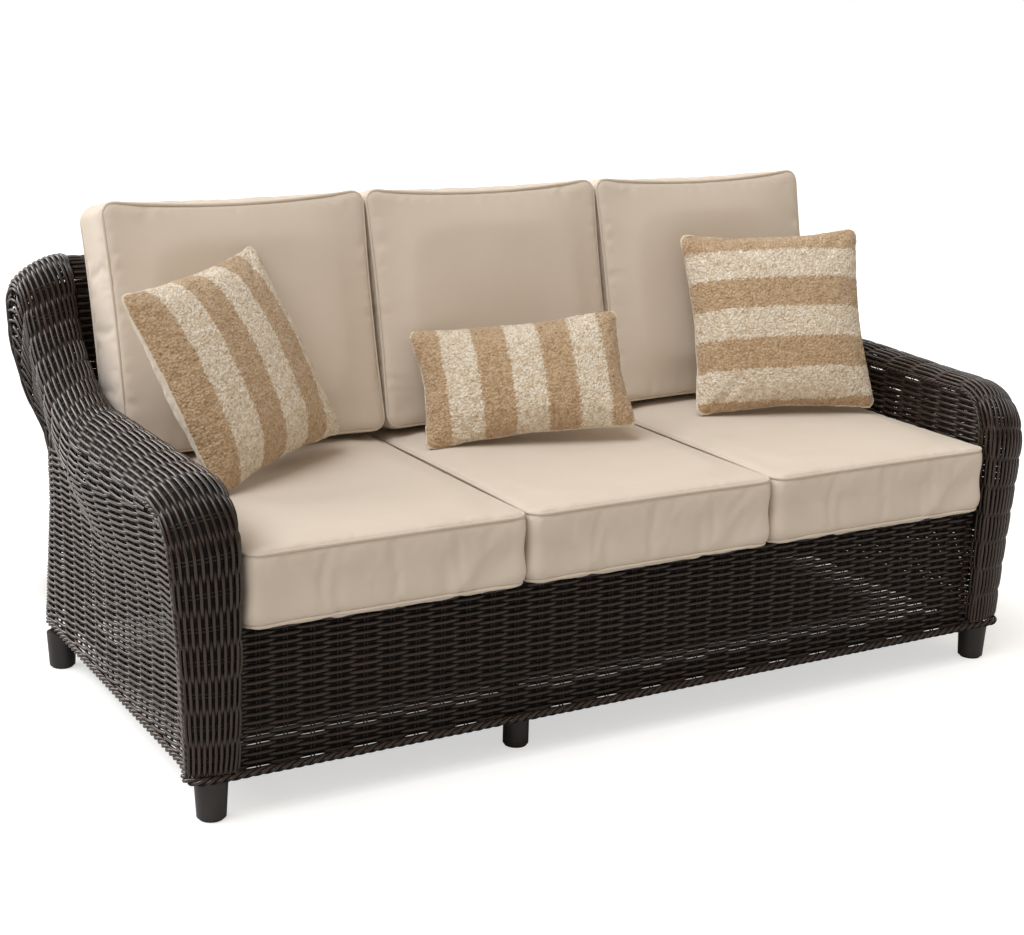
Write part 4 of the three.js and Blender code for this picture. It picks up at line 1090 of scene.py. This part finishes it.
def stuffed(forms):
    """Blows up each form as sewn cloth round its filling.

    forms: name -> (mesh, voxel size, inset at the start, longest move, points of the seams)
    """
    last_step = 20
    held = {}
    for name, (mesh, voxel, inset, longest, seams) in forms.items():
        size = voxel * 1 * MM
        form = modified(mesh, "REMESH", {"mode": "VOXEL", "voxel_size": size})
        set_coordinates(form, of_vertices(form) - of_vertices(form, "normal") * inset * MM)
        piece = bpy.data.objects.new(name, form)
        scene.collection.objects.link(piece)
        sewn = piece.vertex_groups.new(name="sewn")
        tree = nearest_of(seams)
        # The cloth is held within 5 mm of a seam and free beyond 14 mm
        for i, p in enumerate(of_vertices(form)):
            weight = min(1.0, 1.6 - tree.find(p)[2] / (9 * MM))
            if weight > 0:
                sewn.add([i], weight, "REPLACE")
        cloth = piece.modifiers.new("cloth", "CLOTH")
        settings = cloth.settings
        settings.quality = 5
        settings.mass = 0.3
        settings.tension_stiffness = settings.compression_stiffness = 18
        settings.shear_stiffness = 8
        settings.bending_stiffness = 1.2
        settings.use_pressure = True
        settings.uniform_pressure_force = 4.0
        settings.shrink_min = -0.012
        settings.effector_weights.gravity = 0.0
        settings.vertex_group_mass = "sewn"
        settings.pin_stiffness = 1.0
        cloth.point_cache.frame_start = 1
        cloth.point_cache.frame_end = last_step
        held[name] = (piece, of_vertices(form), longest)
    for step in range(1, last_step + 1):
        scene.frame_set(step)
    depsgraph = bpy.context.evaluated_depsgraph_get()
    results = {}
    for name, (piece, start, longest) in held.items():
        made = bpy.data.meshes.new_from_object(piece.evaluated_get(depsgraph))
        move = of_vertices(made) - start
        size = np.linalg.norm(move, axis=1, keepdims=True)
        set_coordinates(made, start + move * np.minimum(1, longest * MM / np.maximum(size, 1e-9)))
        results[name] = made
        bpy.data.objects.remove(piece)
    scene.frame_set(1)
    return results


def soft_outline(width, depth, radius, draw_in, step=6.0):
    """Outline of a soft piece lying flat: rounded corners, sides drawn in between them."""
    signs = [(1, 1), (-1, 1), (-1, -1), (1, -1)]

    def on_corner(corner, quarters):
        angle = (corner + quarters) * math.pi / 2
        way = np.array([math.cos(angle), math.sin(angle)])
        middle = np.array([width / 2 - radius, depth / 2 - radius]) * signs[corner]
        return middle + radius * way

    points = []
    for corner in range(4):
        points += [on_corner(corner, i / 6) for i in range(7)]
        start, end = points[-1], on_corner((corner + 1) % 4, 0)
        length = np.linalg.norm(end - start)
        across = (end - start) / length
        count = int(length / step)
        for i in range(1, count):
            share = i / count
            inward = draw_in * 4 * share * (1 - share)
            points.append(start + (end - start) * share + np.array([-across[1], across[0]]) * inward)
    return np.array(points)


def local_frame(centre, turn, lean, roll):
    """Places a piece that lies flat in its own mesh: stood up and leaned back, rolled and turned."""
    return (
        Matrix.Translation(centre)
        @ Matrix.Rotation(math.radians(turn), 4, "Z")
        @ Matrix.Rotation(math.radians(90 - lean), 4, "X")
        @ Matrix.Rotation(math.radians(roll), 4, "Z")
    )


def box_centre(node):
    low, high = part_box(node)
    return (Vector(low) + Vector(high)) / 2


def fitted_frame(node, lean, middle_z):
    """The frame of a box cushion whose flat middle is at that height of its own mesh."""
    turned = local_frame((0, 0, 0), turn=0, lean=lean, roll=0)
    corners = [turned.inverted() @ v.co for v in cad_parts[node].data.vertices]
    low = Vector(min(c[i] for c in corners) for i in range(3))
    high = Vector(max(c[i] for c in corners) for i in range(3))
    centre = Vector(lerp(low[i], high[i], 0.5) for i in range(3)) - Vector((0, 0, middle_z * MM))
    return turned @ Matrix.Translation(centre)


def flat_copy(node, at):
    """A solid's mesh, laid flat."""
    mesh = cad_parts[node].data.copy()
    mesh.materials.clear()
    mesh.transform(at.inverted())
    return mesh


def at_height(outline, z):
    return np.column_stack([outline, np.full(len(outline), z)]) * MM


# The seat cushion has a crown on its top only, the back cushion on both faces
seat_frames = [fitted_frame(f"{n}_seat_cushion", 90, SEAT_CROWN / 2) for n in names]
back_frames = [fitted_frame(f"{n}_back_cushion", LEAN_DEGREES, 0) for n in names]
left_pillow_frame = local_frame(box_centre("left_throw_pillow"), turn=27, lean=27, roll=7)
right_pillow_frame = local_frame(box_centre("right_throw_pillow"), turn=-21, lean=24, roll=2)
lumbar_frame = local_frame(box_centre("lumbar_pillow"), turn=-22, lean=31, roll=6)

# The top line of a back cushion sags between its corners
TOP_SAG = 12.0
SEAM_IN, SEAM_UNDER, REAR_SEAM_UNDER = 6.0, 2.0, 14.0
seat_line = soft_outline(SEAT_W - SEAM_IN, SEAT_D - SEAM_IN, radius=24, draw_in=4)
back_line = soft_outline(SEAT_W - SEAM_IN, BACK_H - SEAM_IN, radius=24, draw_in=4)
on_top = np.clip((back_line[:, 1] - BACK_H / 2 + 40.0) / 30.0, 0, 1)
back_line[:, 1] -= TOP_SAG * on_top * (1 - (2 * back_line[:, 0] / SEAT_W) ** 2)
square_seam = at_height(soft_outline(SQUARE_PILLOW, SQUARE_PILLOW, radius=16, draw_in=13), 0)
lumbar_seam = at_height(soft_outline(LUMBAR_W, LUMBAR_H, radius=16, draw_in=13), 0)
seat_seams = [at_height(seat_line, z) for z in (SEAT_T / 2 - SEAM_UNDER, SEAM_UNDER - SEAT_T / 2)]
back_seams = [at_height(back_line, z) for z in (BACK_T / 2 - SEAM_UNDER, REAR_SEAM_UNDER - BACK_T / 2)]

forms = stuffed(
    {
        name: (flat_copy(node, at), voxel, inset, longest, seams)
        for name, node, at, voxel, inset, longest, seams in (
            ("seat", "middle_seat_cushion", seat_frames[1], 8.0, 3.0, 40, np.concatenate(seat_seams)),
            ("back", "middle_back_cushion", back_frames[1], 8.0, 3.0, 60, np.concatenate(back_seams)),
            ("square", "right_throw_pillow", right_pillow_frame, 6.0, 2.0, 22, square_seam),
            ("lumbar", "lumbar_pillow", lumbar_frame, 6.0, 2.0, 22, lumbar_seam),
        )
    }
)


def evened(mesh, seams, face_z, rounds=90):
    """Lets the crown of a cushion run out softly towards its seams."""
    still, loose, edge = 22.0, 52.0, 4.0
    tree = nearest_of(seams)
    points = of_vertices(mesh)
    gap = np.array([tree.find(p)[2] for p in points]) / MM
    on_face = np.clip((np.abs(points[:, 2]) / MM - face_z) / edge, 0, 1)
    free = (np.clip((gap - still) / (loose - still), 0, 1) * on_face)[:, None]
    edges = np.empty(len(mesh.edges) * 2, int)
    mesh.edges.foreach_get("vertices", edges)
    ends = np.concatenate([edges.reshape(-1, 2), edges.reshape(-1, 2)[:, ::-1]])
    shared = np.bincount(ends[:, 0], minlength=len(points))[:, None]
    for _ in range(rounds):
        columns = points[ends[:, 1]].T
        total = np.stack([np.bincount(ends[:, 0], column, len(points)) for column in columns], 1)
        points = lerp(points, total / shared, free * 0.8)
    set_coordinates(mesh, points)


def held_inside(mesh, low, high, give=4.0):
    """Eases a soft form back inside a box, so that it presses on its neighbours without passing them."""
    points = of_vertices(mesh) / MM
    for axis in range(3):
        for sign, limit in ((1, high[axis]), (-1, -low[axis])):
            reach = points[:, axis] * sign
            over = reach - (limit - give)
            soft = np.where(over > 0, limit - give + give * np.tanh(over / give), reach)
            points[:, axis] = soft * sign
    set_coordinates(mesh, points * MM)


def subdivided(mesh):
    levels = 1
    made = modified(mesh, "SUBSURF", {"levels": levels, "render_levels": levels})
    made.polygons.foreach_set("use_smooth", [True] * len(made.polygons))
    made.update()
    return made


def seam_on(mesh, seam):
    """Moves a seam's points onto the form, looking in from the corner of its edge."""
    tree = BVHTree.FromPolygons([v.co for v in mesh.vertices], [p.vertices for p in mesh.polygons])
    outward_z = 1.0 if seam[0][2] > 0 else -1.0
    around = np.roll(seam, -1, axis=0) - np.roll(seam, 1, axis=0)
    found = []
    for point, aside in zip(seam, unit(np.cross(around, (0, 0, 1.0)))):
        way = unit(aside + np.array([0, 0, outward_z]))
        hit = tree.ray_cast(Vector(point + way * 40 * MM), Vector(-way), 90 * MM)[0]
        found.append(np.array(hit) if hit is not None else point)
    found = np.array(found)
    for _ in range(3):
        found = (np.roll(found, 1, axis=0) + found * 2 + np.roll(found, -1, axis=0)) / 4
    return found


def drawn_to(mesh, seams, reach=34.0):
    """Brings a form's edges out to its seam lines."""
    line = np.concatenate(seams)
    found = np.concatenate([seam_on(mesh, s) for s in seams])
    tree = nearest_of(found)
    points = of_vertices(mesh)
    for i, p in enumerate(points):
        _, nearest, gap = tree.find(p)
        if gap < 3 * reach * MM:
            points[i] = p + (line - found)[nearest] * math.exp(-((gap / (reach * MM)) ** 2))
    set_coordinates(mesh, points)


def puckered(mesh, seams, seed, depth=2.4, gather=1.6, reach=38.0):
    """Draws the cloth in at each seam, with small gathers that run away from it."""
    line = np.concatenate(seams)
    walk = np.concatenate([walked_length(s) + i * 9.0 for i, s in enumerate(seams)])
    tree = nearest_of(line)
    points, ways = of_vertices(mesh), of_vertices(mesh, "normal")
    for i, p in enumerate(points):
        _, nearest, gap = tree.find(p)
        gap /= MM
        if gap > 3 * reach:
            continue
        fold = noise.noise((walk[nearest] * 45.0, seed * 3.1, gap * 0.006))
        fold += 0.5 * noise.noise((walk[nearest] * 110.0, seed * 5.7, 0.0))
        strength = max(0.0, noise.noise((walk[nearest] * 7.0, seed * 1.3, 2.0)) + 0.45)
        lift = -depth * math.exp(-((gap / 7.0) ** 2))
        lift += gather * fold * strength * math.exp(-gap / reach) * min(1.0, gap / 5.0)
        points[i] = p + ways[i] * lift * MM
    set_coordinates(mesh, points)


def wavy(mesh, seed, height, size):
    """Broad, slight unevenness of the filling."""
    points, ways = of_vertices(mesh), of_vertices(mesh, "normal")
    for i, p in enumerate(points):
        lift = noise.noise(Vector(p) / (size * MM) + Vector((seed * 7.7, 0, 0)))
        points[i] = p + ways[i] * lift * height * MM
    set_coordinates(mesh, points)


def welt(seam, centre_in=0.4, radius=3.1):
    """A cord covered in canvas along a closed seam."""
    closed = np.concatenate([seam, seam[:1]]) / MM + (0, SEAT_FRONT_TO_MIDDLE, 0)
    facing = unit(np.cross(np.gradient(closed, axis=0), (0, 0, 1.0)))
    line = guide(closed - facing * centre_in, facing, 0.0)
    return strands([line], radius=radius, segment=5.0, sides=8, material=welt_cloth)


def soft_piece(name, meshes, at):
    """Puts a padded piece on its own body, in place of its solid."""
    piece = joined(name, meshes)
    piece.data.transform(at)
    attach(piece, name.replace("_look", ""))
    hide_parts(name.replace("_look", ""))


def cushion(name, form, seams, at, seed, flip):
    """A boxed cushion with a welt round each face."""
    mesh = form.copy()
    if flip:
        mesh.transform(Matrix.Diagonal((-1, 1, 1, 1)))
        mesh.flip_normals()
        seams = [(s * (-1, 1, 1))[::-1] for s in seams]
    wavy(mesh, seed, height=1.8, size=130)
    drawn_to(mesh, seams)
    fine = subdivided(mesh)
    placed = [seam_on(fine, s) for s in seams]
    puckered(fine, placed, seed)
    fine.materials.clear()
    fine.materials.append(canvas)
    soft_piece(name, [fine] + [welt(s) for s in placed], at)


def pillow(name, form, at, edges, axis, seed):
    """A knife-edged pillow with a striped boucle front and a plain back."""
    fine = subdivided(form)
    wavy(fine, seed, height=3.0, size=90)
    points, ways = of_vertices(fine), of_vertices(fine, "normal")
    flat = points if axis == 0 else points[:, [1, 0, 2]] * (-1, 1, 1)
    layer = fine.attributes.new("flat", "FLOAT_VECTOR", "POINT")
    layer.data.foreach_set("vector", flat.ravel())
    for i, p in enumerate(points):
        curl = noise.noise(Vector(p) * 190) + 0.6 * noise.noise(Vector(p) * 330)
        points[i] = p + ways[i] * curl * 1.1 * MM
    fine.materials.clear()
    fine.materials.append(striped_boucle(name.replace("_", " ") + " boucle", edges))
    fine.materials.append(pillow_back)
    centres = np.empty(len(fine.polygons) * 3)
    fine.polygons.foreach_get("center", centres)
    back = centres.reshape(-1, 3)[:, 2] < 3.0 * MM
    fine.polygons.foreach_set("material_index", back.astype(int))
    set_coordinates(fine, points)
    soft_piece(name, [fine], at)


def bands(width, shares):
    """The edges of a pillow's stripes across its width, from the stripes' shares of it."""
    walk = np.concatenate([[0], np.cumsum(shares)]) / sum(shares)
    return [(w - 0.5) * width * MM for w in walk]


for kind, seams, depth, thickness, crowns in (
    ("seat", seat_seams, SEAT_D, SEAT_T, (0, SEAT_CROWN)),
    ("back", back_seams, BACK_H, BACK_T, (BACK_CROWN, BACK_CROWN)),
):
    evened(forms[kind], np.concatenate(seams), thickness / 2 - 6)
    low = [-SEAT_W / 2, -depth / 2, -thickness / 2 - crowns[0]]
    high = [SEAT_W / 2, depth / 2, thickness / 2 + crowns[1]]
    held_inside(forms[kind], [v + BOX_GAP for v in low], [v - BOX_GAP for v in high])

for index, n in enumerate(names):
    for kind, seams, frames, seed, fill in (
        ("seat", seat_seams, seat_frames, 1, 0.85),
        ("back", back_seams, back_frames, 11, 0.8),
    ):
        look = f"{n}_{kind}_cushion_look"
        cushion(look, forms[kind], seams, frames[index], seed + index, index == 1)

for name, form, at, width, shares, axis, seed in (
    ("left_throw_pillow", "square", left_pillow_frame, SQUARE_PILLOW, [1] * 6, 0, 3),
    ("right_throw_pillow", "square", right_pillow_frame, SQUARE_PILLOW, [0.8, 1, 1, 1, 1, 1, 0.4], 1, 5),
    ("lumbar_pillow", "lumbar", lumbar_frame, LUMBAR_W, [0.85, 1, 1, 1, 1, 1, 0.8], 0, 7),
):
    pillow(f"{name}_look", forms[form].copy(), at, bands(width, shares), axis, seed)


# Floor, light and background
def floor_paper():
    """Pale studio paper that photographs white where nothing stands on it, with a soft grey shadow, partly
    cast by the lamps and partly painted under and behind the sofa.
    """
    material, tree = new_material("white studio paper")
    where = add_node(tree, "ShaderNodeTexCoord").outputs["Object"]

    def away_from(middle, half_sizes, near, far):
        """Rises from 0 to 1 between two distances from a patch of floor, in metres."""
        value = where
        for operation, other in (
            ("SUBTRACT", middle),
            ("ABSOLUTE", (0, 0, 0)),
            ("SUBTRACT", half_sizes),
            ("MAXIMUM", (0, 0, 0)),
            ("LENGTH", (0, 0, 0)),
        ):
            inputs = {0: value, 1: other}
            value = add_node(tree, "ShaderNodeVectorMath", inputs, operation=operation)
        return add_node(tree, "ShaderNodeMapRange", {"Value": value, "From Min": near, "From Max": far})

    # Painted shadow: the paper's colour is painted dark below the sofa and grey behind it, standing in for
    # the shade inside a tighter weave
    below = away_from((0.085, 0.16, 0.0), (0.725, 0.13, 0.0), near=0.12, far=0.22)
    behind = away_from((0.1, 0.62, 0.0), (0.62, 0.2, 0.0), near=0.12, far=0.35)
    shades = []
    for factor, dark, light in ((below, "#343332", "#cdcdcd"), (behind, "#9a9998", "#ffffff")):
        patch = {"Factor": factor, "A": dark, "B": light}
        shades.append(add_node(tree, "ShaderNodeMix", patch, data_type="RGBA"))
    both = {"Factor": 1.0, "A": shades[0], "B": shades[1]}
    paper = add_node(tree, "ShaderNodeMix", both, data_type="RGBA", blend_type="MULTIPLY")
    # The paper glows white for the camera only away from the painted shadow
    clear = add_node(tree, "ShaderNodeMath", {0: below, 1: behind}, operation="MULTIPLY")
    white = add_node(tree, "ShaderNodeMath", {0: clear, 1: 0.58}, operation="MULTIPLY")
    seen = add_node(tree, "ShaderNodeLightPath").outputs["Is Camera Ray"]
    glow = add_node(tree, "ShaderNodeMath", {0: white, 1: seen}, operation="MULTIPLY")
    matt = {"Base Color": paper, "Roughness": 1.0, "Specular IOR Level": 0.0}
    lit = {"Emission Color": (1, 1, 1, 1), "Emission Strength": glow}
    shader = add_node(tree, "ShaderNodeBsdfPrincipled", {**matt, **lit})
    add_node(tree, "ShaderNodeOutputMaterial", {"Surface": shader})
    return material


FLOOR_HALF = 20.0
corners = [(x * FLOOR_HALF, y * FLOOR_HALF, 0) for x, y in ((-1, -1), (1, -1), (1, 1), (-1, 1))]
floor_mesh = bpy.data.meshes.new("floor")
floor_mesh.from_pydata(corners, [], [(0, 1, 2, 3)])
floor_mesh.materials.append(floor_paper())
floor = bpy.data.objects.new("floor", floor_mesh)
scene.collection.objects.link(floor)
floor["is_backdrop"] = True

world = bpy.data.worlds.new("studio")
scene.world = world
world.use_nodes = True
tree = world.node_tree
tree.nodes.clear()
ray = add_node(tree, "ShaderNodeLightPath").outputs
towards = add_node(tree, "ShaderNodeTexCoord").outputs["Generated"]
depth = add_node(tree, "ShaderNodeSeparateXYZ", {0: towards}).outputs["Y"]
fading = {"Value": depth, "From Min": -0.3, "From Max": 0.6, "To Min": 0.3, "To Max": 1.0}
backdrop = add_node(tree, "ShaderNodeMapRange", fading)
white = add_node(tree, "ShaderNodeBackground", {"Color": (1, 1, 1, 1), "Strength": 1.0})
shine = add_node(tree, "ShaderNodeBackground", {"Color": (1, 1, 1, 1), "Strength": backdrop})
soft = add_node(tree, "ShaderNodeBackground", {"Color": (1.0, 0.865, 0.69, 1), "Strength": 0.51})
glossy = add_node(tree, "ShaderNodeMixShader", {0: ray["Is Glossy Ray"], 1: soft, 2: shine})
mixed = add_node(tree, "ShaderNodeMixShader", {0: ray["Is Camera Ray"], 1: glossy, 2: white})
add_node(tree, "ShaderNodeOutputWorld", {"Surface": mixed})


def broad_sun(name, towards_light, spread, strength, colour):
    light = bpy.data.lights.new(name, "SUN")
    light.color = colour
    light.angle = math.radians(spread)
    light.energy = strength
    lamp = bpy.data.objects.new(name, light)
    scene.collection.objects.link(lamp)
    lamp.rotation_euler = Vector(towards_light).to_track_quat("Z", "Y").to_euler()


sky_blue, cream = (0.91, 0.955, 1.0), (1.0, 0.98, 0.96)
broad_sun("soft light from the upper left", (-0.5, -0.1, 0.86), spread=46, strength=2.2, colour=sky_blue)
broad_sun("pale light from behind on the left", (-0.5, 0.72, 0.48), spread=44, strength=2.0, colour=cream)

low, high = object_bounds()
